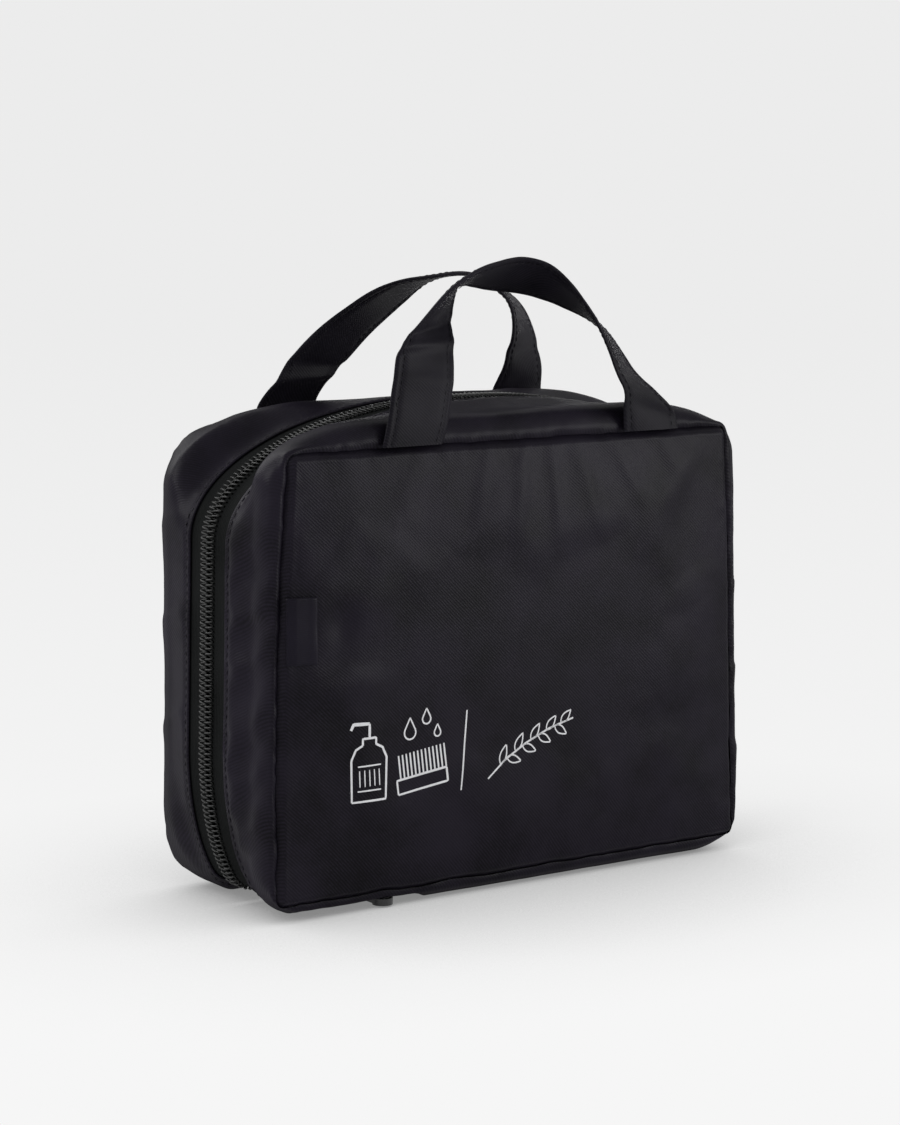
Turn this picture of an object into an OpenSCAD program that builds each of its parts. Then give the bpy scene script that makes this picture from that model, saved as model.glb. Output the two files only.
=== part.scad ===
// Soft clamshell wash bag: two padded halves joined by a fabric fold under the base
// and a coil zip over the sides and the top. Front faces -Y, the bag stands on z = 0.

/* [Body] */
// Width of each panel at its bottom seam
seam_w_bottom = 220; // [190:1:250]
// Width of each panel at its top seam
seam_w_top = 208; // [180:1:245]
// Height of each panel between its seams
seam_h = 169; // [140:1:200]
// Distance between the front and the rear panel seams
seam_depth = 76; // [66:1:100]
// Height of the bottom seams above the ground
seam_lift = 6; // [6:0.5:9]
// How far the sides stand out past the bottom seam
side_bulge = 8.5; // [5:0.5:12]
// How far the zip line on top stands above the top seam
crown = 14.5; // [10:0.5:20]
// How far the middle of a panel stands out past its rim
panel_bulge = 4; // [1:0.5:7]

/* [Cloth] */
// Thickness of the outer cloth
cloth_t = 1.2; // [0.8:0.1:1.6]
// Thickness of the foam at a panel's rim
foam_t = 2; // [1:0.1:2.6]
// Thickness of the lining
lining_t = 0.6; // [0.4:0.1:0.8]
// Width of the binding sewn over the inner seams
binding_w = 7; // [5:0.5:9]
// Thickness of the bound seam
binding_t = 2; // [1.2:0.1:2.6]

/* [Zip] */
// Distance from the middle of the chain to the cloth edge beside the tape
tape_show = 13; // [11:0.5:15]
// Thickness of the zip tape
tape_t = 0.7; // [0.5:0.1:0.9]
// Width of one coil, half of the chain
coil_w = 4; // [3.4:0.1:4.4]
// Height of the coil above its tape
coil_h = 2.2; // [1.8:0.1:2.4]
// Distance from one coil turn to the next
coil_pitch = 3.2; // [3:0.1:4]
// Thickness of one coil turn
coil_turn_t = 1.1; // [0.9:0.1:1.2]
// How far each coil reaches past the middle of the closed chain
coil_mesh = 0.9; // [0.5:0.1:1.2]
// Length of the uncut fold in the middle of the base
fold_len = 99; // [60:1:110]

/* [Slider] */
// Length of the slider
slider_len = 17; // [14:0.5:19]
// Width of the slider
slider_w = 13; // [11.5:0.1:13.5]
// Thickness of each slider plate
plate_t = 1; // [0.8:0.1:1.1]
// Length of the pull from its pin to its end
pull_len = 38; // [25:1:39]
// Width of the pull
pull_w = 8; // [6:0.5:9]
// Radius of the pull's pin
pin_r = 0.6; // [0.5:0.05:0.65]

/* [Handles] */
// Width of the strap
strap_w = 27; // [22:0.5:32]
// Thickness of the strap
strap_t = 2; // [1.5:0.1:2.5]
// Height of the strap's middle line above the top seam
handle_rise = 64; // [50:1:80]
// Distance between the two legs of a handle
handle_span = 113; // [90:1:130]

/* [Hook] */
// Radius of the inside of the hook
hook_r = 13; // [10:0.5:14]
// Width of the hook's arm
hook_arm = 5.5; // [4.5:0.5:6]
// Thickness of the hook
hook_t = 5; // [4:0.5:6]
// Radius of the bar that the hook's webbing goes round
bar_r = 2; // [1.6:0.1:2.4]
// Radius of the hook's stem
stem_r = 2.45; // [2:0.05:2.6]
// Width of the hook's webbing
web_w = 20; // [16:1:24]

/* [Inside] */
// Number of elastic loops
loop_count = 5; // [3:1:6]
// Distance from one elastic loop to the next
loop_step = 31; // [24:1:31]
// How far an elastic loop stands out from the lining
loop_depth = 9.5; // [7:0.5:10]
// Height of the elastic band
elastic_h = 25; // [18:1:30]
// Height of the middle of the elastic band
elastic_z = 66; // [50:1:75]
// Width of the mesh pocket
pocket_w = 176; // [150:1:185]
// Height of the mesh pocket
pocket_h = 78; // [60:1:95]
// Depth of the mesh pocket
pocket_d = 5.4; // [5:0.1:7]
// Width of the folded label
label_w = 15.5; // [12:0.5:18]
// Height of the folded label
label_h = 25; // [18:1:30]

/* [Hidden] */
$fn = 48;

front = -1;
rear = 1;
seam_gap = 0.05;      // between cloth layers sewn face to face
body_gap = 0.3;       // between parts that move apart
run_gap = 0.05;       // round a pin in its hole

// Heights and half sizes worked out from the body
y_seam = seam_depth / 2;
y_shoulder = y_seam - 10;
z_seam_top = seam_lift + seam_h;
z_crown = z_seam_top + crown;
half_side = seam_w_bottom / 2 + side_bulge;
y_lining = y_seam - foam_t - 2 * seam_gap;      // outer face of each panel lining
y_inside = y_lining - lining_t;                 // inner face of each panel lining
inner_edge = cloth_t + lining_t + 0.4;          // rim of what lies inside the gusset
rear_rise = 3;                                  // how much higher the rear panel reaches

// Heights under the base, from the ground up, where the slider runs
pull_t = 1.4;                                   // thickness of the pull
eye_r = 1.35;                                   // outside of the pull's eye
z_pin = eye_r + 0.3;
z_plate = z_pin + eye_r + 0.1;                  // underside of the lower slider plate
z_coil = z_plate + plate_t + 0.2;
z_tape = z_coil + coil_h;
tape_drop = cloth_t + 0.1;                      // tape lies this far inside the cloth
z_arch = z_tape - tape_drop;                    // cloth level over the slider's run
z_lane = z_pin + 1.75;                          // cloth level over the lying pull
z_top_plate = z_tape + tape_t + 0.3;

// Fold in the middle of the base, and the slope from it up to the arch beside it
x_fold = fold_len / 2;
fold_ramp = 6;
x_level = x_fold - 3;                           // the arch has its full height from here
x_flat = x_level - fold_ramp;                   // the fold lies on the ground up to here

// Slider at rest at the end of the closed chain, and its straight run
slider_room = 1;
slider_x = -(x_fold + slider_len / 2 + 2.5);
slider_run = 26;
x_run_end = slider_x - slider_run - slider_len / 2 - slider_room;
x_lane_end = slider_x - slider_run - pull_w / 2 - 1;
post_half = 1;                                  // half width of the post between the coils
slot_half = 1.3;                                // half width of the way left for that post

// ---- outlines -------------------------------------------------------------
// Left half of a rounded outline, from the bottom middle up to the top middle.
// bottom and top are [half width, height, corner size in x, corner size in z].
function half_outline(bottom, top, steps) = concat(
    [[0, bottom[1]]],
    [for (i = [0:steps]) let (a = 90 * i / steps)
        [-(bottom[0] - bottom[2]) - bottom[2] * sin(a), bottom[1] + bottom[3] * (1 - cos(a))]],
    [for (i = [0:steps]) let (a = 90 * i / steps)
        [-(top[0] - top[2]) - top[2] * cos(a), top[1] - top[3] * (1 - sin(a))]],
    [[0, top[1]]]);

function lengths(p) = [for (i = 0, s = 0; i < len(p);
    s = s + (i + 1 < len(p) ? norm(p[i + 1] - p[i]) : 0), i = i + 1) s];

// Point at share t of the way along a line of points
function along(p, t) =
    let (s = lengths(p), want = t * s[len(s) - 1],
         k = min(len(p) - 2, len([for (v = s) if (v <= want) 1]) - 1))
    p[k] + (p[k + 1] - p[k]) * ((want - s[k]) / max(0.001, s[k + 1] - s[k]));

function both_halves(h) = concat(h,
    [for (i = [len(h) - 2:-1:1]) [-h[i][0], h[i][1]]]);

// Moves a closed outline inwards
function inset(p, d) = [for (i = [0:len(p) - 1])
    let (n = len(p), a = p[(i + n - 1) % n], b = p[(i + 1) % n], u = (b - a) / norm(b - a))
    p[i] + d * [u[1], -u[0]]];

// Points spread evenly along a line, or packed towards both of its ends
function run(a, b, n) = [for (i = [0:n - 1]) a + (b - a) * i / n];
function packed(a, b, n) = [for (i = [0:n - 1]) a + (b - a) * (1 - cos(180 * i / n)) / 2];

// Seam outline, with a point on each side of the slope beside the fold, and points
// 2 and 5 at the ends of the lane under which the pull lies
lane_points = [2, 5];
function seam_half(hb, ht, z0, z1, r) = concat(
    [[0, z0], [-(x_flat - 1), z0]],
    run([-(x_level + 1), z0], [x_lane_end, z0], 3),
    run([x_lane_end, z0], [-(hb - r), z0], 2),
    [for (i = [0:3]) let (a = 22.5 * i) [-(hb - r) - r * sin(a), z0 + r - r * cos(a)]],
    packed([-hb, z0 + r], [-ht, z1 - r], 10),
    [for (i = [0:3]) let (a = 22.5 * i) [-(ht - r) - r * cos(a), z1 - r + r * sin(a)]],
    run([-(ht - r), z1], [0, z1], 7),
    [[0, z1]]);

// Seam of one half, moved inwards by d: the rear panel is a little fuller than the front
seam_r = [8, 15];
seam_r_least = 2;
rear_fuller_low = 2;
rear_fuller_top = 4;
function seam_inside(side, d) = side == front
    ? seam_half(seam_w_bottom / 2 - d, seam_w_top / 2 - d, seam_lift + d, z_seam_top - d,
        max(seam_r_least, seam_r[0] - d))
    : seam_half(seam_w_bottom / 2 + rear_fuller_low - d, seam_w_top / 2 + rear_fuller_top - d,
        seam_lift + d, z_seam_top + rear_rise - d, max(seam_r_least, seam_r[1] - d));

// Shoulder outlines, where each half is at its fullest, and the zip line
// Each corner has a size along x and one along z
front_low_x = 22; front_low_z = 22; front_top_x = 50; front_top_z = 18;
rear_low_x = 16; rear_low_z = 18; rear_top_x = 60; rear_top_z = 22;
zip_low_x = 24; zip_low_z = 58; zip_top_x = 110; zip_top_z = 50;
front_narrower = 1.5; front_wider_top = 9; front_below = 3.5;
rear_wider = 0.5; rear_wider_top = 13; rear_above = 0.5;
zip_narrower_top = 2;
front_shoulder = half_outline([half_side - front_narrower, 0, front_low_x, front_low_z],
    [seam_w_top / 2 + front_wider_top, z_crown - front_below, front_top_x, front_top_z], 8);
rear_shoulder = half_outline([half_side + rear_wider, 0, rear_low_x, rear_low_z],
    [seam_w_top / 2 + rear_wider_top, z_crown + rear_above, rear_top_x, rear_top_z], 8);
zip_line = half_outline([half_side, 0, zip_low_x, zip_low_z],
    [half_side - zip_narrower_top, z_crown, zip_top_x, zip_top_z], 12);

// Points of another outline that answer those of the front seam, share by share
seam_lengths = lengths(seam_inside(front, 0));
function matched(half) = [for (v = seam_lengths) along(half, v / seam_lengths[len(seam_lengths) - 1])];
zip_half = matched(zip_line);

function smooth(u) = let (v = min(1, max(0, u))) v * v * (3 - 2 * v);

// Lowest height of the cloth at a place under the base
arch_ramp = 6;
lane_ends = 12;
lane_ramp = 10;
function arch(x, y) = z_arch * smooth((abs(x) - x_flat) / fold_ramp)
    * smooth((tape_show + arch_ramp - abs(y)) / arch_ramp);
function lane(x, y) = y > 0 ? 0 : z_lane
    * smooth((abs(x - slider_x + slider_run / 2) < slider_run / 2 + lane_ends) ? 1
        : 1 - (abs(x - slider_x + slider_run / 2) - slider_run / 2 - lane_ends) / lane_ramp);
// The higher of two heights, rounded where they meet
blend = 6;
function higher(a, b) = max(a, b) + pow(max(0, blend - abs(a - b)), 2) / (4 * blend)
    * smooth(min(a, b) / 2);
function lifted(p, y) = [for (q = p) [q[0], max(higher(q[1], arch(q[0], y)), lane(q[0], y))]];

// One ring of a gusset: w is 0 at the seam, 1 at the shoulder and 2 at the zip tape
tape_y2 = tape_show + 3;                        // the tape reaches this far under the cloth
w_tape = 1 + (y_shoulder - tape_y2) / (y_shoulder - tape_show);
function gusset_y(w) = w <= 1
    ? y_shoulder + (y_seam - y_shoulder) * pow(cos(90 * w), 0.8)
    : y_shoulder + (tape_show - y_shoulder) * (w - 1);
function gusset_flat(seam, shoulder, zip, w, side) =
    let (a = w <= 1 ? pow(sin(90 * w), 0.8) : 1, b = smooth((w - 1) / (w_tape - 1)))
    lifted(both_halves([for (i = [0:len(seam) - 1])
        seam[i] + (shoulder[i] - seam[i]) * a + (zip[i] - shoulder[i]) * b]), side * gusset_y(w));

function lay(flat, y) = [for (q = flat) [q[0], y, q[1]]];

// ---- skins ----------------------------------------------------------------
// Solid through a row of rings; a closed row makes a ring-shaped solid. The second half
// of a sheet's rings runs back, so its diagonals turn too and layers nest without touching
module skin(rings, closed = false, sheet = false) {
    m = len(rings);
    n = len(rings[0]);
    walls = [for (j = [0:m - (closed ? 1 : 2)], i = [0:n - 1])
        let (k = (j + 1) % m, i2 = (i + 1) % n,
             a = j * n + i, b = j * n + i2, c = k * n + i2, d = k * n + i)
        each sheet && j >= m / 2 ? [[a, b, d], [b, c, d]] : [[a, b, c], [a, c, d]]];
    // Each end is a fan round its own middle
    middle = [for (r = [rings[0], rings[m - 1]]) [for (v = r) 1] * r / n];
    caps = closed ? [] : [for (i = [0:n - 1]) let (k = (i + 1) % n)
        each [[m * n, k, i], [m * n + 1, (m - 1) * n + i, (m - 1) * n + k]]];
    polyhedron(concat([for (r = rings) each r], closed ? [] : middle), concat(walls, caps));
}

function shoulder_of(side) = side == front ? front_shoulder : rear_shoulder;

// Length of a closed band between two points of its outline, with flat ends
module band_length(rings, from, to) {
    m = len(rings);
    n = to - from + 1;
    total = len(rings[0]);
    sub = [for (r = rings) [for (k = [0:n - 1])
        let (p = r[(from + k) % total], end = k == 0 || k == n - 1,
             q = r[(from + (k == 0 ? 1 : max(0, k - 1))) % total])
        end ? p + (q - p) / norm(q - p) * seam_gap / 2 : p]];
    walls = [for (j = [0:m - 1], i = [0:n - 2])
        let (k = (j + 1) % m, a = j * n + i, b = a + 1, c = k * n + i + 1, d = c - 1)
        each j < m / 2 ? [[a, b, c], [a, c, d]] : [[a, b, d], [b, c, d]]];
    ends = [for (j = [0:m / 2 - 2], i = [0, n - 1])
        let (a = j * n + i, b = (j + 1) * n + i, c = (m - 2 - j) * n + i, d = (m - 1 - j) * n + i)
        each i == 0 ? [[a, b, c], [a, c, d]] : [[c, b, a], [d, c, a]]];
    polyhedron([for (r = sub) each r], concat(walls, ends));
}

// Cloth band between the panel seam and the zip tape. One with a lane is made in two
// lengths, so that collision in MuJoCo follows the lane, which is shallow for its size
module gusset_band(side, w_list, out, thick, with_lane = false) {
    seam = seam_inside(side, 0);
    shoulder = matched(shoulder_of(side));
    flats = [for (w = w_list) gusset_flat(seam, shoulder, zip_half, w, side)];
    outer = [for (i = [0:len(w_list) - 1]) lay(inset(flats[i], out), side * gusset_y(w_list[i]))];
    inner = [for (i = [len(w_list) - 1:-1:0])
        lay(inset(flats[i], out + thick), side * gusset_y(w_list[i]))];
    loop = concat(outer, inner);
    rings = side == rear ? loop : [for (i = [len(loop) - 1:-1:0]) loop[i]];
    if (with_lane) {
        band_length(rings, lane_points[0], lane_points[1]);
        band_length(rings, lane_points[1], len(rings[0]) + lane_points[0]);
    } else
        skin(rings, closed = true, sheet = true);
}

gusset_steps = [0, 0.12, 0.3, 0.55, 1, 1.3, 1.55, w_tape, 2];
lining_steps = [for (w = gusset_steps) if (w > 0.2 && w < w_tape) w];

// Crowned sheet over a panel; reach lists shares of the way from the middle to the seam
function crown_y(base, bulge, t) = base + bulge * (1 - pow(t, 4)) * (1 - 0.35 * t * t);
module crowned(side, edge, y_out, bulge_out, y_in, bulge_in) {
    outline = both_halves(seam_inside(side, edge));
    mid = [0, seam_lift + seam_h / 2];
    reach = [0.3, 0.55, 0.75, 0.9, 1];
    outer = [for (t = reach) lay([for (q = outline) mid + (q - mid) * t],
        side * crown_y(y_out, bulge_out, t))];
    inner = [for (i = [len(reach) - 1:-1:0]) lay([for (q = outline) mid + (q - mid) * reach[i]],
        side * crown_y(y_in, bulge_in, reach[i]))];
    rings = concat(outer, inner);
    skin(side == rear ? rings : [for (i = [len(rings) - 1:-1:0]) rings[i]], sheet = true);
}

// Flat shape in x and z given thickness from y1 to y2
module across(y1, y2) {
    translate([0, y2, 0]) rotate([90, 0, 0]) linear_extrude(y2 - y1) children();
}

// ---- panels ---------------------------------------------------------------
module panel(side) {
    crowned(side, 0, y_seam + seam_gap + cloth_t, panel_bulge, y_seam + seam_gap, panel_bulge);
}
module padding(side) {
    crowned(side, cloth_t + 1, y_seam, panel_bulge, y_seam - foam_t, 0);
}
module lining(side) {
    y1 = side == front ? -y_lining : y_inside;
    across(y1, y1 + lining_t)
        polygon(both_halves(seam_inside(side, inner_edge)));
}
module binding(side) {
    y1 = side == front ? -(y_inside - seam_gap) : y_inside - seam_gap - binding_t;
    across(y1, y1 + binding_t) difference() {
        polygon(both_halves(seam_inside(side, inner_edge)));
        polygon(both_halves(seam_inside(side, inner_edge + binding_w)));
    }
}

// ---- zip ------------------------------------------------------------------
zip_flat = both_halves(zip_half);
function zip_level(d) = inset(lifted(zip_flat, 0.01), d);

// Keeps what lies beyond the fold, on both sides of the base and over the top
module beyond_fold(x) {
    difference() {
        children();
        translate([-x, -1]) square([2 * x, seam_lift + 20]);
    }
}
module zip_band(d, thick) {
    difference() {
        polygon(zip_level(d));
        polygon(zip_level(d + thick));
    }
}

tape_y1 = slot_half + 0.1;
notch_x = slider_x - slider_len / 2 - slider_room;
module tape(side) {
    y1 = side == front ? -tape_y2 : tape_y1;
    difference() {
        across(y1, y1 + tape_y2 - tape_y1) beyond_fold(x_fold - 1) zip_band(tape_drop, tape_t);
        // The slider sits on the front half, so the rear tape is let out round it
        if (side == rear) {
            translate([notch_x, -1, 0]) cube([-x_fold + 2 - notch_x, slider_w / 2 + 1.8, z_tape + 5]);
            // It is made in lengths here, so that collision stays as flat as its run
            for (x = [notch_x, x_run_end])
                translate([x - seam_gap, 0, 0]) cube([seam_gap, tape_y2 + 1, z_tape + 5]);
        }
    }
}

// Turns of one coil: flat lugs across the zip line, spaced along it
zip_lifted = lifted(zip_half, 0.01);
zip_lengths = lengths(zip_lifted);
zip_half_len = zip_lengths[len(zip_lengths) - 1];
function lug(share, mirror_x) =
    let (p = along(zip_lifted, share - 0.001), q = along(zip_lifted, share + 0.001),
         u = (q - p) / norm(q - p), n = [u[1], -u[0]],
         c = (p + q) / 2 + n * tape_drop,
         pts = [for (s = [[-1, 0], [1, 0], [1, -1], [-1, -1]])
            c + u * (s[0] * coil_turn_t / 2) + n * (s[1] * (coil_h - 2 * seam_gap) - seam_gap)])
    [for (v = pts) [mirror_x * v[0], v[1]]];

stop_len = 2.4;                                 // length of a moulded end stop
// The first turn lies past its stop; point 2 is the top of the slope beside the fold
first_share = (zip_lengths[2] + zip_lifted[2][0] + x_fold + stop_len + 1) / zip_half_len;
lug_count = round((1 - first_share) * zip_half_len / coil_pitch);
lug_step = (1 - first_share) / lug_count;
function on_run(share) = along(zip_lifted, share)[1] < z_arch + 1;
function in_slider(share) = on_run(share) && along(zip_lifted, share)[0] > notch_x - coil_turn_t;

module coil(side) {
    shift = side == front ? 0 : 0.5;
    last = side == front ? lug_count : lug_count - 1;
    // m is 1 on the left half; the turn in the middle of the top belongs to that half
    for (i = [0:last], m = [-1, 1]) {
        share = first_share + (i + shift) * lug_step;
        left = m > 0;
        hidden = left ? side == rear && in_slider(share) : share > 1 - lug_step / 4;
        // On the slider's run the turns stop short of its post
        reach = left && on_run(share) ? -slot_half : coil_mesh;
        y1 = side == front ? -coil_w : -reach;
        if (!hidden)
            across(y1, y1 + coil_w + reach) polygon(lug(share, m));
    }
}

// ---- base -----------------------------------------------------------------
module base_fold(side) {
    y1 = side == front ? -(tape_show - 0.1) : body_gap / 2;
    across(y1, y1 + tape_show - 0.1 - body_gap / 2) intersection() {
        zip_band(0, cloth_t);
        translate([-x_fold + 0.5, -1]) square([2 * x_fold - 1, z_arch + cloth_t + 1]);
    }
}

module front_panel() { color("#26252a") panel(front); }
module rear_panel() { color("#26252a") panel(rear); }
module front_padding() { color("#8e8e90") padding(front); }
module rear_padding() { color("#8e8e90") padding(rear); }
module front_lining() { color("#3a3a3e") lining(front); }
module rear_lining() { color("#3a3a3e") lining(rear); }
module front_gusset() {
    color("#222126") gusset_band(front, gusset_steps, 0, cloth_t, with_lane = true);
}
module rear_gusset() { color("#222126") gusset_band(rear, gusset_steps, 0, cloth_t); }
module front_gusset_lining() {
    color("#3a3a3e") gusset_band(front, lining_steps, cloth_t + seam_gap, lining_t);
}
module rear_gusset_lining() {
    color("#3a3a3e") gusset_band(rear, lining_steps, cloth_t + seam_gap, lining_t);
}
module front_binding() { color("#1c1c1f") binding(front); }
module rear_binding() { color("#1c1c1f") binding(rear); }
module front_zip_tape() { color("#18181a") tape(front); }
module rear_zip_tape() { color("#18181a") tape(rear); }
module front_zip_teeth() { color("#2c2c2f") coil(front); }
module rear_zip_teeth() { color("#2c2c2f") coil(rear); }
module front_base_fold() { color("#222126") base_fold(front); }
module rear_base_fold() { color("#222126") base_fold(rear); }

// Moulded stop over the end of a coil, beside the fold; m is the end of the chain
module end_stop(side, m) {
    x = x_fold + seam_gap;
    y1 = side == front ? -tape_y1 - coil_w : tape_y1;
    translate([m > 0 ? x : -x - stop_len, y1, z_coil + seam_gap])
        cube([stop_len, coil_w, coil_h - 2 * seam_gap]);
}
// The front coil ends in two stops; at the left the slider lets out the rear tape
module front_zip_stops() { color("#1a1a1c") for (m = [-1, 1]) end_stop(front, m); }
module rear_zip_stop() { color("#1a1a1c") end_stop(rear, 1); }

// ---- slider ---------------------------------------------------------------
plate_edge = 0.4;      // the plates stand in this far from the full width
tail_len = 2;          // tapered tail of the plates, and how far it comes in
tail_in = 1.8;
nose_len = 4;          // tapered nose, its steeper tip, and how far each comes in
tip_len = 1.5;
tip_in = 2;
tip_half = 1.5;
flange_start = 1.5;    // from the tail to the flanges, and from them to the nose
flange_end = 3.5;
post_len = 3.5;        // post between the coils, and how far it stands back
post_back = 1;
ear_t = 1.2;           // ears that carry the pin
ear_r = 1.1;
pin_in_ear = 1;        // how far the pin reaches into each ear
sunk = 0.01;           // pieces of one casting run this far into each other
pull_eye_w = 4;

// The inner plate is a solid of its own, so that collision leaves the tape its slot
module slider_body() {
    half_l = slider_len / 2;
    channel = coil_w + 0.4;
    flange_w = slider_w / 2 - plate_edge - channel;
    ear_x = pull_eye_w / 2 + body_gap / 2 + ear_t / 2;
    z_slot = z_plate + plate_t - sunk;
    color("#1d1d1f") translate([slider_x, 0, 0]) {
        // Outer plate, then the inner one
        translate([0, 0, z_plate]) linear_extrude(plate_t) slider_plan();
        translate([0, 0, z_top_plate]) linear_extrude(plate_t) slider_plan();
        // Flanges that hold the coils in the channel
        for (y = [channel, -channel - flange_w])
            translate([-half_l + flange_start, y, z_slot])
                cube([slider_len - flange_start - flange_end, flange_w, coil_h - 0.2]);
        // Post between the two coils
        translate([half_l - post_back - post_len, -post_half, z_slot])
            cube([post_len, 2 * post_half, z_top_plate - seam_gap - z_slot]);
        // Ears and pin that carry the pull
        for (m = [-1, 1]) translate([m * ear_x, 0, z_pin]) {
            rotate([0, 90, 0]) cylinder(h = ear_t, r = ear_r, center = true);
            translate([-ear_t / 2, -ear_r, 0]) cube([ear_t, 2 * ear_r, z_plate - z_pin + sunk]);
        }
        translate([0, 0, z_pin]) rotate([0, 90, 0])
            cylinder(h = pull_eye_w + 2 * pin_in_ear, r = pin_r, center = true);
    }
}
module slider_plan() {
    l = slider_len / 2;
    w = slider_w / 2;
    right = [[-l, w - tail_in], [-l + tail_len, w - plate_edge], [l - nose_len, w - plate_edge],
        [l - tip_len, w - tip_in], [l, tip_half]];
    polygon(concat([for (p = right) [p[0], -p[1]]], [for (i = [4:-1:0]) right[i]]));
}

end_t = 2.6;           // thickness of the pull's rounded end
waist = 0.35;          // where the pull reaches its full width, as a share of its length
hole_at = 0.45;        // where the hole in the pull is
module zip_pull() {
    half_w = pull_w / 2;
    color("#161617") translate([slider_x, 0, z_pin]) difference() {
        union() {
            rotate([0, 90, 0]) cylinder(h = pull_eye_w, r = eye_r, center = true);
            // Blade that widens from the eye to a rounded, thicker end
            translate([0, 0, -pull_t / 2]) linear_extrude(pull_t) difference() {
                union() {
                    polygon([[-pull_eye_w / 2, 0], [pull_eye_w / 2, 0], [half_w, -pull_len * waist],
                        [half_w, -pull_len + half_w], [-half_w, -pull_len + half_w],
                        [-half_w, -pull_len * waist]]);
                    translate([0, -pull_len + half_w]) circle(r = half_w);
                }
                translate([0, -pull_len * hole_at]) circle(r = pull_w / 5);
            }
            translate([0, -pull_len + half_w, 0]) cylinder(h = end_t, r = half_w, center = true);
        }
        rotate([0, 90, 0]) cylinder(h = pull_eye_w + 2, r = pin_r + run_gap, center = true);
    }
}

// ---- handles --------------------------------------------------------------
// Stations along the strap: place along the span (-1 to 1 at the legs), depth behind
// the seam, height as a share of the rise, turn of the width from x, and its dip
front_stations = [
    [-0.89, -1.9, 0.005, 0, 0], [-0.84, -1.6, 0.16, 0, -6], [-0.77, 0.5, 0.42, 0, -5],
    [-0.72, 3, 0.58, 12, 0], [-0.6, 7, 0.73, 42, 3], [-0.44, 9, 0.88, 58, -4],
    [-0.17, 11, 0.97, 72, -20], [0.07, 12, 0.985, 82, -30], [0.33, 11.5, 0.92, 76, -27],
    [0.59, 10, 0.79, 62, -16], [0.82, 7, 0.6, 50, -4], [0.98, 3.7, 0.37, 36, -5],
    [1.08, 1.4, 0.24, 24, -4],
    [1.11, -1.4, 0.13, 6, -2], [1.13, -1.9, 0.005, 0, 0]
];
rear_stations = [
    [-1.01, -1.9, 0.005, 0, 0], [-0.98, -1.8, 0.14, 0, 3], [-0.88, 1, 0.28, 2, 3],
    [-0.72, 3, 0.44, 12, -12], [-0.5, 5, 0.62, 24, -18], [-0.2, 8, 0.81, 38, -16],
    [0.1, 10.5, 0.92, 54, -4], [0.42, 11, 0.93, 56, -2], [0.69, 10, 0.81, 54, 0],
    [0.86, 8, 0.68, 46, 2], [0.97, 5, 0.5, 34, 1], [1.01, 1.5, 0.29, 18, 0],
    [1.0, -1.7, 0.14, 6, 0], [0.99, -1.9, 0.005, 0, 0]
];

// Smooth curve through four stations
function between(a, b, c, d, t) = 0.5 * (2 * b + (c - a) * t
    + (2 * a - 5 * b + 4 * c - d) * t * t + (3 * b - a - 3 * c + d) * t * t * t);
function curve(s, n) = let (m = len(s) - 1) [for (i = [0:m - 1], k = [0:n - 1 + (i == m - 1 ? 1 : 0)])
    between(s[max(0, i - 1)], s[i], s[i + 1], s[min(m, i + 2)], k / n)];

// Station in millimetres: the middle of the strap
function strap_place(s, side) =
    [s[0] * handle_span / 2, side * (y_seam - s[1]), z_handle(side) + s[2] * handle_rise];
function z_handle(side) = side == front ? z_seam_top : z_seam_top + rear_rise;

// Ring of a strap: its width turned by the station, its thickness square to the run
module strap(side, stations) {
    s = curve(stations, 2);
    p = [for (v = s) strap_place(v, side)];
    rings = [for (i = [0:len(s) - 1])
        let (a = p[max(0, i - 1)], b = p[min(len(s) - 1, i + 1)], t = (b - a) / norm(b - a),
             w = [cos(s[i][3]) * cos(s[i][4]), sin(s[i][3]) * cos(s[i][4]), sin(s[i][4])],
             n = cross(w, t) / norm(cross(w, t)), hw = w * strap_w / 2, hn = n * strap_t / 2)
        [p[i] - hw - hn, p[i] + hw - hn, p[i] + hw + hn, p[i] - hw + hn]];
    skin(rings);
}
module front_handle() { color("#242328") strap(front, front_stations); }
module rear_handle() { color("#242328") strap(rear, rear_stations); }

// ---- trim and inside ------------------------------------------------------
// Label folded once, its ends in the left front seam
module side_label() {
    leaf = 0.45;
    room = 1.4;
    x1 = -seam_w_bottom / 2 + 4.6;
    y1 = -(y_seam + seam_gap + cloth_t + 1.9);
    color("#1f1f23") translate([x1, y1, seam_lift + seam_h * 0.54]) linear_extrude(label_h) difference() {
        union() {
            translate([0, -room]) square([label_w - room / 2, room]);
            translate([label_w - room / 2, -room / 2]) circle(d = room);
        }
        translate([-1, -room + leaf]) square([label_w - room / 2 + 1, room - 2 * leaf]);
        translate([label_w - room / 2, -room / 2]) circle(d = room - 2 * leaf);
    }
}

// Pocket of mesh on the front lining, open at its top
pocket_z = seam_lift + 18;
mesh_t = 0.8;
module mesh_pocket() {
    y_back = -y_inside + 0.05;
    color("#303034") {
        across(y_back + pocket_d, y_back + pocket_d + mesh_t)
            translate([-pocket_w / 2, pocket_z]) square([pocket_w, pocket_h]);
        across(y_back, y_back + pocket_d + 0.01) difference() {
            translate([-pocket_w / 2, pocket_z]) square([pocket_w, pocket_h]);
            translate([-pocket_w / 2 + mesh_t, pocket_z + mesh_t])
                square([pocket_w - 2 * mesh_t, pocket_h]);
        }
    }
}
module pocket_edge() {
    y_back = -y_inside + 0.05;
    color("#1c1c1f") across(y_back + pocket_d - 0.2, y_back + pocket_d + mesh_t + 0.6)
        translate([-pocket_w / 2, pocket_z + pocket_h + 0.05]) square([pocket_w, 6]);
}

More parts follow.
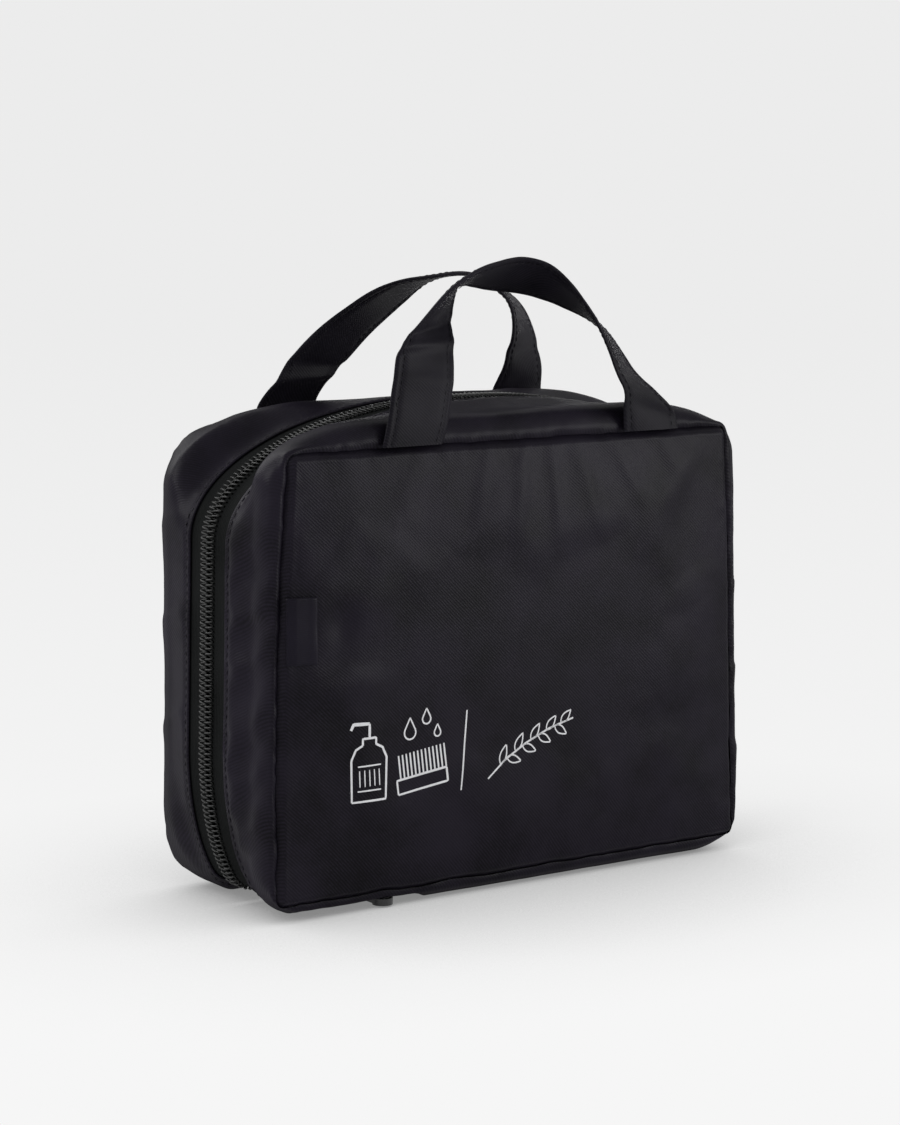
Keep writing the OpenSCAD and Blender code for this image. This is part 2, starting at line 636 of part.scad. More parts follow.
// Elastic band sewn down between its loops
module elastic_loops() {
    band_t = 1;
    gap = 3;
    half_w = (loop_step - gap) / 2;
    end = loop_count * loop_step / 2 + gap;
    function middle(i) = [(i + 0.5 - loop_count / 2) * loop_step, 0];
    function bow(i, w, d, k) = middle(i) + [-w * cos(15 * k), -d * pow(sin(15 * k), 0.7)];
    outer = [for (i = [0:loop_count - 1]) each concat([middle(i) + [-half_w - 0.5, -band_t]],
        [for (k = [1:11]) bow(i, half_w, loop_depth, k)], [middle(i) + [half_w + 0.5, -band_t]])];
    inner = [for (i = [loop_count - 1:-1:0]) each
        [for (k = [12:-1:0]) bow(i, half_w - band_t, loop_depth - band_t, k)]];
    color("#19191b") translate([0, y_inside - seam_gap, elastic_z - elastic_h / 2])
        linear_extrude(elastic_h)
            polygon(concat([[-end, 0], [-end, -band_t]], outer, [[end, -band_t], [end, 0]], inner));
}

// Webbing loop under the rear tape, with the hook's link and the hook itself
web_t = 1.2;
tab_len = 19;          // from the top of the webbing to the middle of the link's bar
flare_len = 8;         // the webbing's two plies part over this height, round the bar
round_len = 3;
ply_gap = 0.1;
hook_y = tape_show - 2;
tab_top = along(zip_lifted, 1 - web_w / 2 / zip_half_len)[1] - tape_drop - tape_t - 3 * seam_gap;
bar_z = tab_top - tab_len;
module hook_tab() {
    outer_r = bar_r + run_gap + web_t;
    half_t = web_t + ply_gap;
    color("#1b1b1d") translate([-web_w / 2, hook_y, 0]) rotate([90, 0, 90]) linear_extrude(web_w)
        difference() {
            union() {
                translate([-outer_r, bar_z]) square([2 * outer_r, round_len]);
                polygon([[-outer_r, bar_z + round_len], [outer_r, bar_z + round_len],
                    [half_t, bar_z + flare_len], [half_t, tab_top], [-half_t, tab_top],
                    [-half_t, bar_z + flare_len]]);
                translate([0, bar_z]) circle(r = outer_r);
            }
            translate([0, bar_z]) circle(r = bar_r + run_gap);
        }
}

link_h = 12;           // from the bar down to the underside of the link's boss
link_bar = 3;          // width of the link's sides
link_depth = 4.4;
boss_h = 4;
boss_wall = 2.6;
module hook_link() {
    half = web_w / 2 + body_gap + link_bar / 2 + 0.2;
    y = -link_depth / 2;
    color("#2a2a2d") translate([0, hook_y, bar_z]) difference() {
        union() {
            rotate([0, 90, 0]) cylinder(h = 2 * half, r = bar_r, center = true);
            for (m = [-1, 1])
                translate([m * half - link_bar / 2, y, -link_h])
                    cube([link_bar, link_depth, link_h - y]);
            translate([-half, y, -link_h]) cube([2 * half, link_depth, boss_h]);
            translate([0, 0, -link_h]) cylinder(h = boss_h, r = stem_r + boss_wall);
        }
        translate([0, 0, -link_h - 1]) cylinder(h = boss_h + 2, r = stem_r + run_gap);
    }
}

neck_h = 3;            // of the hook, between the link's boss and the hook's arm
neck_wall = 1.6;
head_h = 1.6;          // head on top of the stem, over the boss
head_wall = 1.4;
shank_w = 6.4;         // block where the arm meets the neck
shank_h = 6;
tip_grow = 0.6;        // the tip is rounded this much fuller than the arm
module hook() {
    top = bar_z - link_h;              // underside of the link's boss
    outer_r = hook_r + hook_arm;
    centre_z = top - shank_h - outer_r;
    color("#2a2a2d") translate([0, hook_y, 0]) {
        translate([0, 0, top - neck_h]) cylinder(h = neck_h + boss_h + body_gap + 0.1, r = stem_r);
        translate([0, 0, top + boss_h + body_gap]) cylinder(h = head_h, r = stem_r + head_wall);
        translate([0, 0, top - neck_h]) cylinder(h = neck_h - body_gap, r = stem_r + neck_wall);
        across(-hook_t / 2, hook_t / 2) translate([0, centre_z]) {
            difference() {
                circle(r = outer_r);
                circle(r = hook_r);
                // Mouth of the hook, on its left above the tip
                translate([-outer_r - 1, 0]) square([outer_r - neck_h, outer_r + 1]);
            }
            translate([-outer_r + hook_arm / 2, 0]) circle(r = hook_arm / 2 + tip_grow);
            translate([-shank_w / 2, outer_r - 2]) square([shank_w, shank_h]);
        }
    }
}

front_panel();
front_padding();
front_lining();
front_gusset();
front_gusset_lining();
front_binding();
front_zip_tape();
front_zip_teeth();
front_base_fold();
rear_panel();
rear_padding();
rear_lining();
rear_gusset();
rear_gusset_lining();
rear_binding();
rear_zip_tape();
rear_zip_teeth();
rear_base_fold();
front_zip_stops();
rear_zip_stop();
side_label();
mesh_pocket();
pocket_edge();
elastic_loops();
slider_body();
zip_pull();
front_handle();
rear_handle();
hook_tab();
hook_link();
hook();
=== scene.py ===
# %% [markdown]
# # A black wash bag in padded polyester
# The bag is two soft halves. A fold of cloth joins them under the base, and a zip closes
# them over both sides and the top. OpenSCAD holds every piece at its real size. This
# script dresses those pieces in cloth, thread, tape and plastic, and moves none of them.

# %% Load the frame
import math

import bpy
import numpy as np
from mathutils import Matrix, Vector, noise
from mathutils.bvhtree import BVHTree


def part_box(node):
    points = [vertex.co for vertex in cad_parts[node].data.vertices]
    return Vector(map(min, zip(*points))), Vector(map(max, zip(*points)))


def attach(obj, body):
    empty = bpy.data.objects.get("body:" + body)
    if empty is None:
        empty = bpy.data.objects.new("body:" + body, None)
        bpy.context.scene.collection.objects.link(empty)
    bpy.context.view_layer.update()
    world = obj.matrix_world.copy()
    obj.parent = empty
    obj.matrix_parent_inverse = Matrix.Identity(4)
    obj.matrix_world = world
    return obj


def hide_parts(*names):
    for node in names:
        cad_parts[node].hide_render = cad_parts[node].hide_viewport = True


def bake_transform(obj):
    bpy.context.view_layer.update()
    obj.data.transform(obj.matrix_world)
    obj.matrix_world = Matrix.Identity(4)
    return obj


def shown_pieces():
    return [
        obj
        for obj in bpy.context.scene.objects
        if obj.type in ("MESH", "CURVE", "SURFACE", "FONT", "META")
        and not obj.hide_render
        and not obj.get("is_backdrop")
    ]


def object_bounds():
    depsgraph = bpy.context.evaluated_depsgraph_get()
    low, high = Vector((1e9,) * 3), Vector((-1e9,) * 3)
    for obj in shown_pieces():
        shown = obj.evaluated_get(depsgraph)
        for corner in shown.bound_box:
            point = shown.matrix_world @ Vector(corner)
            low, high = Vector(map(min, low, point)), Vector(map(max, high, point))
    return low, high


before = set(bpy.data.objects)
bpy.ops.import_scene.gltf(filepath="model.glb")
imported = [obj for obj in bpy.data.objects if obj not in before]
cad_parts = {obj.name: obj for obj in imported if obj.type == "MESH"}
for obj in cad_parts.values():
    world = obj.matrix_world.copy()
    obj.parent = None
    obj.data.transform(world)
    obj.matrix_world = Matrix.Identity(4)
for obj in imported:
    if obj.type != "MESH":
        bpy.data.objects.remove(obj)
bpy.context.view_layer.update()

MM = 0.001

# %% [markdown]
# ## The camera
# A photograph fixes where its camera stood. The four corners of the front seam have known
# sizes on the real bag, so the camera was turned, moved back and zoomed until they showed
# where the photograph has them. It needs no shift.

# %% Image points and camera
W, H = 900, 1125
POINTS = {
    "seam_top_left": (288, 455), "seam_top_right": (725, 425),
    "seam_bottom_right": (732, 834), "seam_bottom_left": (277.5, 911),
    "left_edge": (163, None), "right_edge": (735, None),
    "top_edge": (None, 258), "bottom_edge": (None, 915),
    "front_handle_top": (520, 258), "rear_handle_top": (457, 272),
    "label_middle": (301, 631), "pull_tip": (388, 903),
    "print_rule": (464, 750),
}
LENS, SENSOR = 96.8, 36.0
TURN, TILT = math.radians(-35.06), math.radians(7.79)
DISTANCE = 1.195
AIM = Vector((-0.0052, 0, 0.1234))

back = Vector((math.sin(TURN) * math.cos(TILT), -math.cos(TURN) * math.cos(TILT), math.sin(TILT)))
camera = bpy.data.objects.new("camera", bpy.data.cameras.new("camera"))
bpy.context.collection.objects.link(camera)
camera.data.sensor_fit = "AUTO"
camera.data.sensor_width = SENSOR
camera.data.lens = LENS
camera.location = AIM + back * DISTANCE
camera.rotation_euler = back.to_track_quat("Z", "Y").to_euler()
bpy.context.scene.camera = camera
bpy.context.view_layer.update()
print("camera at, mm:", [round(v / MM) for v in camera.location])

# %% Rays from the photograph, and back again
LONG = max(W, H)


def ray(x, y):
    """Direction in the row frame of the ray through a point of the photograph."""
    lens = camera.data
    local = Vector((x - W / 2 + lens.shift_x * LONG, H / 2 - y + lens.shift_y * LONG,
                    -LONG * lens.lens / lens.sensor_width))
    return (camera.matrix_world.to_3x3() @ local).normalized()


def land(surface, x, y):
    """Where a ray meets a BVHTree: (place, normal). A miss takes the nearest place."""
    start, way = camera.location, ray(x, y)
    place, normal, _, _ = surface.ray_cast(start, way)
    if place is None:
        near = start + way * (AIM - start).dot(way)
        place, normal, _, _ = surface.find_nearest(near)
    return place, normal


def shown(place):
    """Pixel of the photograph at which a place in the row frame shows."""
    p = camera.matrix_world.inverted() @ Vector(place)
    scale = LONG * camera.data.lens / camera.data.sensor_width / -p.z
    return W / 2 + p.x * scale, H / 2 - p.y * scale


# %% [markdown]
# ## Finishes
# The bag is nearly one colour, so its finishes differ in how they catch light. Polyester
# twill has a soft sheen and a fine diagonal rib. Tape is matt and flat. The coil is
# extruded nylon, the slider is lacquered zinc and the hook is moulded acetal.

# %% Colour and node helpers
def paint(code):
    """Linear colour of an sRGB hex value."""
    parts = [int(code[i:i + 2], 16) / 255 for i in (1, 3, 5)]
    return (*[v / 12.92 if v <= 0.04045 else ((v + 0.055) / 1.055) ** 2.4 for v in parts], 1)


def add(tree, kind, values=None, links=None, **settings):
    """Adds a node with its settings, its socket values and its links."""
    node = tree.nodes.new(kind)
    for name, value in settings.items():
        setattr(node, name, value)
    for socket, value in (values or {}).items():
        node.inputs[socket].default_value = value
    for socket, source in (links or {}).items():
        tree.links.new(source, node.inputs[socket])
    return node


def per_metre(mm):
    """Noise scale that gives features of about this size."""
    return 1 / (mm * MM)


def rib_scale(mm):
    """Wave scale that gives diagonal ribs this far apart on any face."""
    return 2 * math.pi / (10 * math.sqrt(2) * mm * MM)


# %% [markdown]
# A woven finish has three scales. The rib is a wave across the face. The thread's
# unevenness is fine noise that breaks the wave up. The cloth's own shading is wide noise,
# because a dyed cloth is never quite even. All use object coordinates, so the weave stays
# on the cloth when a half swings open.

# %% Woven finishes
CLOUD_MM = 26


def woven(name, dark, light, rib_mm, rib_depth_mm, roughness, sheen, kind="DIAGONAL",
          gloss=0.06, grain=0.35):
    """A woven cloth: ribs rib_mm apart, coloured between dark and light."""
    material = bpy.data.materials.new(name)
    material.use_nodes = True
    tree = material.node_tree
    shader = tree.nodes["Principled BSDF"]
    place = add(tree, "ShaderNodeTexCoord").outputs["Object"]
    scale = rib_scale(rib_mm) if kind == "DIAGONAL" else 2 * math.pi / (20 * rib_mm * MM)
    rib = add(tree, "ShaderNodeTexWave", {"Scale": scale, "Distortion": 0.6, "Detail": 1.0,
              "Detail Scale": 2.0}, {"Vector": place}, bands_direction=kind)
    thread = add(tree, "ShaderNodeTexNoise", {"Scale": per_metre(1.1), "Detail": 2.0},
                 {"Vector": place})
    cloud = add(tree, "ShaderNodeTexNoise", {"Scale": per_metre(CLOUD_MM), "Detail": 3.0},
                {"Vector": place})
    weave = add(tree, "ShaderNodeMath", {}, {0: rib.outputs["Fac"], 1: thread.outputs["Fac"]},
                operation="MULTIPLY")
    both = add(tree, "ShaderNodeMath", {1: grain}, {0: weave.outputs[0], 2: cloud.outputs["Fac"]},
               operation="MULTIPLY_ADD")
    ramp = add(tree, "ShaderNodeValToRGB", {}, {"Fac": both.outputs[0]})
    ramp.color_ramp.elements[0].position, ramp.color_ramp.elements[1].position = 0.35, 0.8
    ramp.color_ramp.elements[0].color, ramp.color_ramp.elements[1].color = paint(dark), paint(light)
    bump = add(tree, "ShaderNodeBump", {"Strength": 0.55, "Distance": rib_depth_mm * MM},
               {"Height": weave.outputs[0]})
    tree.links.new(ramp.outputs["Color"], shader.inputs["Base Color"])
    tree.links.new(bump.outputs["Normal"], shader.inputs["Normal"])
    # Seen along the cloth, thread stands in front of thread, so the shine fades there
    facing = add(tree, "ShaderNodeLayerWeight", {"Blend": 0.5}).outputs["Facing"]
    fade = add(tree, "ShaderNodeMapRange", {"From Min": 0.55, "From Max": 0.95, "To Min": roughness,
               "To Max": min(1.0, roughness + 0.5)}, {"Value": facing})
    tree.links.new(fade.outputs[0], shader.inputs["Roughness"])
    shader.inputs["Sheen Weight"].default_value = sheen
    shader.inputs["Sheen Roughness"].default_value = 0.4
    shader.inputs["Specular IOR Level"].default_value = gloss
    return material


# Real twill has about 0.6 mm between ribs. It is drawn at 1.0 mm so that it shows.
twill = woven("polyester_twill", "#0b0a0d", "#1c1921", 1.0, 0.10, 0.36, 0.0, gloss=0.052, grain=0.55)
strap_twill = woven("strap_twill", "#0d0c10", "#1b191f", 1.0, 0.10, 0.42, 0.0, gloss=0.05,
                    grain=0.5)
tape_weave = woven("woven_zip_tape", "#040505", "#111212", 1.1, 0.16, 0.85, 0.0, kind="Y",
                   gloss=0.05, grain=0.8)
ribbon = woven("ribbed_binding", "#101012", "#1d1d20", 1.0, 0.15, 0.75, 0.04, kind="X", gloss=0.15)
taffeta = woven("lining_taffeta", "#2a2a2d", "#3a3a3e", 1.0, 0.05, 0.42, 0.05, kind="X", gloss=0.1)
elastic_rib = woven("ribbed_elastic", "#121214", "#222225", 1.3, 0.25, 0.8, 0.05, kind="Z", gloss=0.15)
webbing = woven("hook_webbing", "#111113", "#202023", 1.4, 0.22, 0.7, 0.05, kind="X", gloss=0.15)
satin = woven("satin_label", "#100e15", "#18151e", 0.7, 0.03, 0.30, 0.0, kind="Z", gloss=0.07)
print("woven finishes:", [m.name for m in bpy.data.materials if m.use_nodes][:12])

# %% [markdown]
# Plastic, lacquer and thread are smooth. Each still has faint mottling in its roughness,
# from the mould or from handling, because a perfectly even gloss looks like paint on glass.


# %% Smooth finishes
def smooth_finish(name, code, rough_low, rough_high, grain_mm, grain_depth_mm, coat=0.0, gloss=0.5):
    """Moulded, lacquered or spun: an even colour whose gloss varies a little."""
    material = bpy.data.materials.new(name)
    material.use_nodes = True
    tree = material.node_tree
    shader = tree.nodes["Principled BSDF"]
    place = add(tree, "ShaderNodeTexCoord").outputs["Object"]
    grain = add(tree, "ShaderNodeTexNoise", {"Scale": per_metre(grain_mm), "Detail": 3.0},
                {"Vector": place})
    rough = add(tree, "ShaderNodeMapRange", {"To Min": rough_low, "To Max": rough_high},
                {"Value": grain.outputs["Fac"]})
    bump = add(tree, "ShaderNodeBump", {"Strength": 0.4, "Distance": grain_depth_mm * MM},
               {"Height": grain.outputs["Fac"]})
    tree.links.new(rough.outputs[0], shader.inputs["Roughness"])
    tree.links.new(bump.outputs["Normal"], shader.inputs["Normal"])
    shader.inputs["Base Color"].default_value = paint(code)
    shader.inputs["Coat Weight"].default_value = coat
    shader.inputs["Specular IOR Level"].default_value = gloss
    return material


nylon = smooth_finish("extruded_nylon_coil", "#0f100f", 0.34, 0.5, 1.5, 0.02, gloss=0.28)
lacquer = smooth_finish("lacquered_zinc", "#121214", 0.18, 0.32, 3.0, 0.01, coat=0.4)
acetal = smooth_finish("moulded_acetal", "#161618", 0.28, 0.42, 2.0, 0.01)
thread = smooth_finish("spun_polyester_thread", "#131216", 0.55, 0.75, 0.6, 0.05, gloss=0.15)
print_ink = smooth_finish("white_print_ink", "#c9c9cb", 0.5, 0.65, 0.8, 0.01)

# %% [markdown]
# ## From CAD boxes to lines of cloth
# Every line of this bag is one of three: the panel's seam, the shoulder where a half is
# fullest, and the zip. The sizes come from the CAD boxes, so the cloth lands where the
# solids are. All lines start under the base, run up the left side, over the top and down
# the right, and points at the same share of their lengths belong together.

# %% Measures of the bag in millimetres
def box_mm(node):
    low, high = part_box(node)
    return np.array(low) / MM, np.array(high) / MM


SIDE = {"front": -1, "rear": 1}
panel_box = {side: box_mm(f"{side}_panel") for side in SIDE}
y_seam = panel_box["rear"][0][1] - 0.05
z_lift = panel_box["front"][0][2]
z_top = {side: panel_box[side][1][2] for side in SIDE}
half_bottom = {side: panel_box[side][1][0] for side in SIDE}
half_top = {"front": half_bottom["front"] - 6, "rear": half_bottom["rear"] - 4}
SEAM_R = {"front": 3.0, "rear": 13}     # corners of the seams
EDGE_IN = 0.29                          # share of a radius by which a round corner draws in
half_side = box_mm("front_gusset")[1][0]
z_crown = box_mm("front_gusset")[1][2]
tape_show = -box_mm("front_gusset")[1][1]
y_shoulder = y_seam - 10
z_coil = box_mm("front_zip_stops")[0][2] - 0.05
z_arch = z_coil + 2.2 - 1.3
z_lane = 3.4
fold_half = box_mm("front_base_fold")[1][0] + 0.5
slider_low, slider_high = box_mm("slider_body")
slider_x = (slider_low[0] + slider_high[0]) / 2
print("seam at y", y_seam, "lift", z_lift, "sides", half_side, "crown", z_crown,
      "tape edge", tape_show, "fold", fold_half, "slider at", round(slider_x, 2))

# %% Lines round the bag
HALF = 300      # points on each half of a ring, about 1.3 mm apart
BOW = 2.1       # by this the slack left side of the front seam bows out


def ease(u):
    u = np.clip(u, 0, 1)
    return u * u * (3 - 2 * u)


def bow_line(bottom, top, steps=40):
    """Left half of a rounded line, bottom middle to top middle. Each end is [half width,
    height, corner size in x, corner size in z]."""
    a = np.radians(np.linspace(0, 90, steps + 1))
    low = np.c_[-(bottom[0] - bottom[2]) - bottom[2] * np.sin(a), bottom[1] + bottom[3] * (1 - np.cos(a))]
    high = np.c_[-(top[0] - top[2]) - top[2] * np.cos(a), top[1] - top[3] * (1 - np.sin(a))]
    return np.vstack([[0, bottom[1]], low, high, [0, top[1]]])


def seam_line(side, inside=0.0):
    """Left half of a panel's seam, moved inwards."""
    wide, narrow = half_bottom[side] - inside, half_top[side] - inside
    r = max(1.5, SEAM_R[side] - inside)
    low, high = z_lift + inside, z_top[side] - inside
    a = np.radians(np.linspace(0, 90, 17))
    return np.vstack([[0, low], np.c_[-(wide - r) - r * np.sin(a), low + r - r * np.cos(a)],
                      np.c_[-(narrow - r) - r * np.cos(a), high - r + r * np.sin(a)], [0, high]])


def spread(line, shares):
    """Points at these shares of a line's length."""
    steps = np.r_[0, np.cumsum(np.linalg.norm(np.diff(line, axis=0), axis=1))]
    return np.c_[np.interp(shares * steps[-1], steps, line[:, 0]),
                 np.interp(shares * steps[-1], steps, line[:, 1])]


def whole(half):
    """Both halves of a ring, from the bottom middle round to just before it."""
    return np.vstack([half, half[-2:0:-1] * [-1, 1]])


def seam_ring(side, shares, inside=0.0):
    """A panel's seam all round."""
    ring = whole(spread(seam_line(side, inside), shares))
    if side == "front":
        up = np.clip((ring[:, 1] - z_lift) / (z_top[side] - z_lift), 0, 1)
        ring[:, 0] -= BOW * np.sin(np.pi * up ** 1.15) ** 0.8 * ease(-ring[:, 0] / 100)
    return ring


shares = np.linspace(0, 1, HALF + 1)
shoulder = {"front": bow_line([half_side - 3.2, 0, 22, 22], [half_top["front"] + 8, z_crown - 3.5, 50, 22]),
            "rear": bow_line([half_side - 0.8, 0, 26, 34], [half_top["front"] + 12, z_crown - 1.5, 64, 30])}
zip_run = bow_line([half_side, 0, 24, 58], [half_side - 2, z_crown, 110, 50])
zip_loop = whole(spread(zip_run, shares))
print("ring of", len(zip_loop), "points")

# %% Smooth rises under the base
def lift_off(x, z, y):
    """The cloth rises over the slider's run beside the fold, and over the pull."""
    arch = z_arch * ease((abs(x) - (fold_half - 9)) / 6) * ease((tape_show + 6 - abs(y)) / 6)
    span = abs(x - slider_x + 13) - 25
    lane = np.where(y > 0, 0, z_lane * ease(1 - span / 10))
    soft = np.maximum(0, 6 - abs(z - arch)) ** 2 / 24 * ease(np.minimum(z, arch) / 2)
    return np.maximum(np.maximum(z, arch) + soft, lane)


def push_in(ring, by):
    """Moves a closed ring inwards in its own plane."""
    along = np.roll(ring, -1, 0) - np.roll(ring, 1, 0)
    along /= np.linalg.norm(along, axis=1)[:, None]
    return ring + by * np.c_[along[:, 1], -along[:, 0]]


def gusset_y(w):
    return np.where(w <= 1, y_shoulder + (y_seam - y_shoulder) * np.cos(np.pi / 2 * np.minimum(w, 1)) ** 0.8,
                    y_shoulder + (tape_show - y_shoulder) * (w - 1))


def gusset_ring(side, w, inside=0.0):
    """Ring of a half's gusset as (x, y, z): w is 0 at the seam, 1 at the shoulder, 2 at
    the tape."""
    seam = seam_ring(side, shares)
    full = whole(spread(shoulder[side], shares))
    y = SIDE[side] * float(gusset_y(w))
    a = math.sin(math.pi / 2 * min(w, 1)) ** 0.8
    turn = 1 + (y_shoulder - tape_show - 3) / (y_shoulder - tape_show)
    b = float(ease((w - 1) / (turn - 1)))
    flat = seam + (full - seam) * a + (zip_loop - full) * b
    flat = np.c_[flat[:, 0], lift_off(flat[:, 0], flat[:, 1], y)]
    flat = push_in(flat, inside)
    return np.c_[flat[:, 0], np.full(len(flat), y), flat[:, 1]]


def even_rows(first, last, rows, side="front"):
    """Values of w that lie evenly across the gusset, measured at the side of the bag."""
    fine = np.linspace(first, last, 200)
    place = np.array([gusset_ring(side, w)[HALF // 2] for w in fine[::4]])
    steps = np.r_[0, np.cumsum(np.linalg.norm(np.diff(place, axis=0), axis=1))]
    return np.interp(np.linspace(0, steps[-1], rows), steps, fine[::4])


# %% [markdown]
# ## Cloth as it hangs
# Flat polygons never look sewn. Three things make cloth look like cloth. A stitched edge
# gathers into small puckers that fade out within a centimetre. A slack side takes a few
# folds, each with a sharp crest and a soft foot. The seam itself wanders a little, as a
# hand guided it. The helpers below add those, and all of them give the same result
# each time, since Blender's noise is fixed for a given place.

# %% Helpers for cloth
def flat_key(flat):
    """Places in a plane as places in space, for noise."""
    return np.c_[flat, flat[:, :1] * 0]


def noise_at(points, size_mm, seed=0.0):
    """Smooth noise from -1 to 1 at each point, with features of this size."""
    shift = Vector((seed * 17.3, seed * 5.1, seed * 9.7))
    return np.array([noise.noise(Vector(p) / size_mm + shift) for p in points]) * 1.6


def wander(x, z):
    """How far the seams stray sideways from their line, in mm."""
    points = np.c_[x, np.zeros(len(x)), z]
    return 0.45 * noise_at(points, 17, 1) + 0.2 * noise_at(points, 6, 2)


def beside_line(points, start, end):
    """Share of the way along a line for each point, and its offset from the line."""
    start, end = np.array(start, float), np.array(end, float)
    way = end - start
    t = np.clip(((points - start) @ way) / (way @ way), 0, 1)
    return t, points - start - t[:, None] * way


def fold(points, start, end, height, width):
    """A crease between two places: a crest with a foot on each side."""
    t, off = beside_line(points, start, end)
    gap = np.linalg.norm(off, axis=1) / width
    fade = np.sin(np.pi * np.clip(t * 0.9 + 0.05, 0, 1)) ** 0.7
    return height * fade * (np.exp(-gap ** 2 * 1.6) - 0.35 * np.exp(-(gap - 1.6) ** 2))


def facet(points, start, end, height, steep, gentle):
    """A crease with one steep side, above, and one gentle side, below."""
    t, off = beside_line(points, start, end)
    gap = np.linalg.norm(off, axis=1)
    ends = np.clip(np.minimum(t, 1 - t) * 5 + 0.25, 0, 1)
    slope = np.clip(1 - gap / gentle, 0, 1) ** 1.2
    return height * ends * np.where(off[:, 2] > 0, np.exp(-(gap / steep) ** 2), slope)


def grid_faces(rows, columns, closed=False):
    r, c = np.meshgrid(np.arange(rows - 1), np.arange(columns - (0 if closed else 1)), indexing="ij")
    a, b = r * columns + c, r * columns + (c + 1) % columns
    return np.stack([a, b, b + columns, a + columns], axis=-1).reshape(-1, 4)


def normals_of(points, faces):
    """A normal at each point of a mesh of four-sided faces."""
    corners = points[faces]
    face = np.cross(corners[:, 2] - corners[:, 0], corners[:, 3] - corners[:, 1])
    out = np.zeros_like(points)
    for k in range(4):
        np.add.at(out, faces[:, k], face)
    return out / np.maximum(np.linalg.norm(out, axis=1), 1e-9)[:, None]


def piece(name, points_mm, faces, material, body, slot, *nodes):
    """Makes a piece from points in mm, hangs it on the body it rides on and hides the CAD parts
    it stands for. A piece without a body is left for its maker to place."""
    data = bpy.data.meshes.new(name)
    corners = faces if isinstance(faces, list) else faces.tolist()
    data.from_pydata((np.asarray(points_mm) * MM).tolist(), [], corners)
    data.materials.append(material)
    data.shade_smooth()
    data.update()
    obj = bpy.data.objects.new(name, data)
    bpy.context.collection.objects.link(obj)
    if body:
        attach(obj, body)
        if nodes:
            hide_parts(*nodes)
    return obj


def thicken(obj, thickness_mm):
    """Gives an open sheet its thickness, half to each side."""
    thick = obj.modifiers.new("thick", "SOLIDIFY")
    thick.thickness, thick.offset = thickness_mm * MM, 0
    return obj


def join(parts):
    """Joins (points, faces) pairs into one."""
    points, faces, start = [], [], 0
    for p, f in parts:
        points.append(p)
        faces += (f + start).tolist()
        start += len(p)
    return np.vstack(points), faces


# %% [markdown]
# ## Gussets
# The gusset is the band of cloth from a panel's seam over the shoulder to the zip. One
# strip of twill goes all the way round. It is made as rings of points, so it stays one
# continuous sheet. At the seam it stands up in a narrow lip, since the seam allowance
# inside pushes it out. At the tape its edge is turned under and topstitched, and the
# stitches draw it down into a shallow channel.

# %% Slack of the gussets
# Each crease: start, end, height, reach of its steep side and of its gentle side
CREASES = {
    "front": [((-92, -16, 178), (-78, -36, 176), 0.8, 2.8, 8),
              ((-62, -18, 186), (-44, -40, 179), 0.6, 3.0, 8),
              ((6, -18, 187), (30, -38, 178), 0.5, 3.0, 8),
              ((118, -18, 124), (114, -42, 108), 0.8, 2.5, 11),
              ((118, -18, 86), (114, -42, 74), 0.8, 2.5, 12),
              ((117, -18, 50), (113, -40, 40), 0.7, 2.5, 12)],
    "rear": [((-118, 16, 150), (-114, 40, 140), 0.7, 3.0, 14),
             ((-118, 16, 112), (-116, 40, 104), 0.6, 2.6, 12),
             ((-118, 17, 74), (-116, 40, 62), 0.7, 2.6, 12),
             ((-112, 14, 168), (-100, 38, 172), 0.6, 2.5, 9),
             ((-96, 14, 181), (-80, 38, 181), 0.6, 2.6, 9),
             ((118, 17, 134), (115, 40, 122), 0.7, 3.0, 12),
             ((118, 17, 90), (115, 40, 78), 0.8, 3.0, 13),
             ((30, 17, 189), (56, 38, 184), 0.5, 4.0, 9),
             ((118, 18, 44), (115, 40, 38), 0.7, 3.0, 12)],
}
# The slack left side of the front half: heights where its flat folds meet, up the side
FOLDS_AT = [12, 24, 33, 47, 55, 68, 76, 90, 99, 113, 121, 134, 143, 158]
FOLDS_HIGH = [0, -0.3, 1.2, -0.3, 1.1, -0.5, 1.7, -0.4, 1.3, -0.5, 1.4, -0.3, 0.8, 0]
print("creases:", {side: len(rows) for side, rows in CREASES.items()})

# %% Gusset cloth
stitch_y = tape_show + 2.2          # line of the topstitching
GUSSET_ROWS = 30
HEM = [(0.7, -0.35), (1.25, 0.3)]   # turned edge: how far in, how far from the tape
FLOOR_GAP = 0.02
MIDDLE = np.array([0, 0, 90.0])
MOST_OUT_LEFT, MOST_OUT = 2.0, 0.8  # no fold stands higher than this
MOST_IN = 0.75                      # nor dips deeper: the lining lies 1.3 mm further in
CORNER_REACH = 9                    # how far the seam's corners reach along it


def upright(x, side):
    """Where a seam runs up a side, so that it strays in x and not in z."""
    return abs(x) >= half_bottom[side] - CORNER_REACH


def gusset_sheet(side):
    """The smooth band: its points, faces and normals, and how many points are not hem."""
    rings = [gusset_ring(side, w) for w in even_rows(0, 2, GUSSET_ROWS, side)]
    for inside, along in HEM:
        hem = gusset_ring(side, 2, inside)
        hem[:, 1] += SIDE[side] * along
        rings.append(hem)
    points = np.vstack(rings)
    faces = grid_faces(len(rings), len(rings[0]), closed=True)
    if side == "front":
        faces = faces[:, ::-1]
    out = normals_of(points, faces)
    if ((points - MIDDLE) * out).sum() < 0:
        out, faces = -out, faces[:, ::-1]
    across = np.linalg.norm(points - np.tile(rings[0], (len(rings), 1)), axis=1)
    return points, faces, out, across, GUSSET_ROWS * len(rings[0])


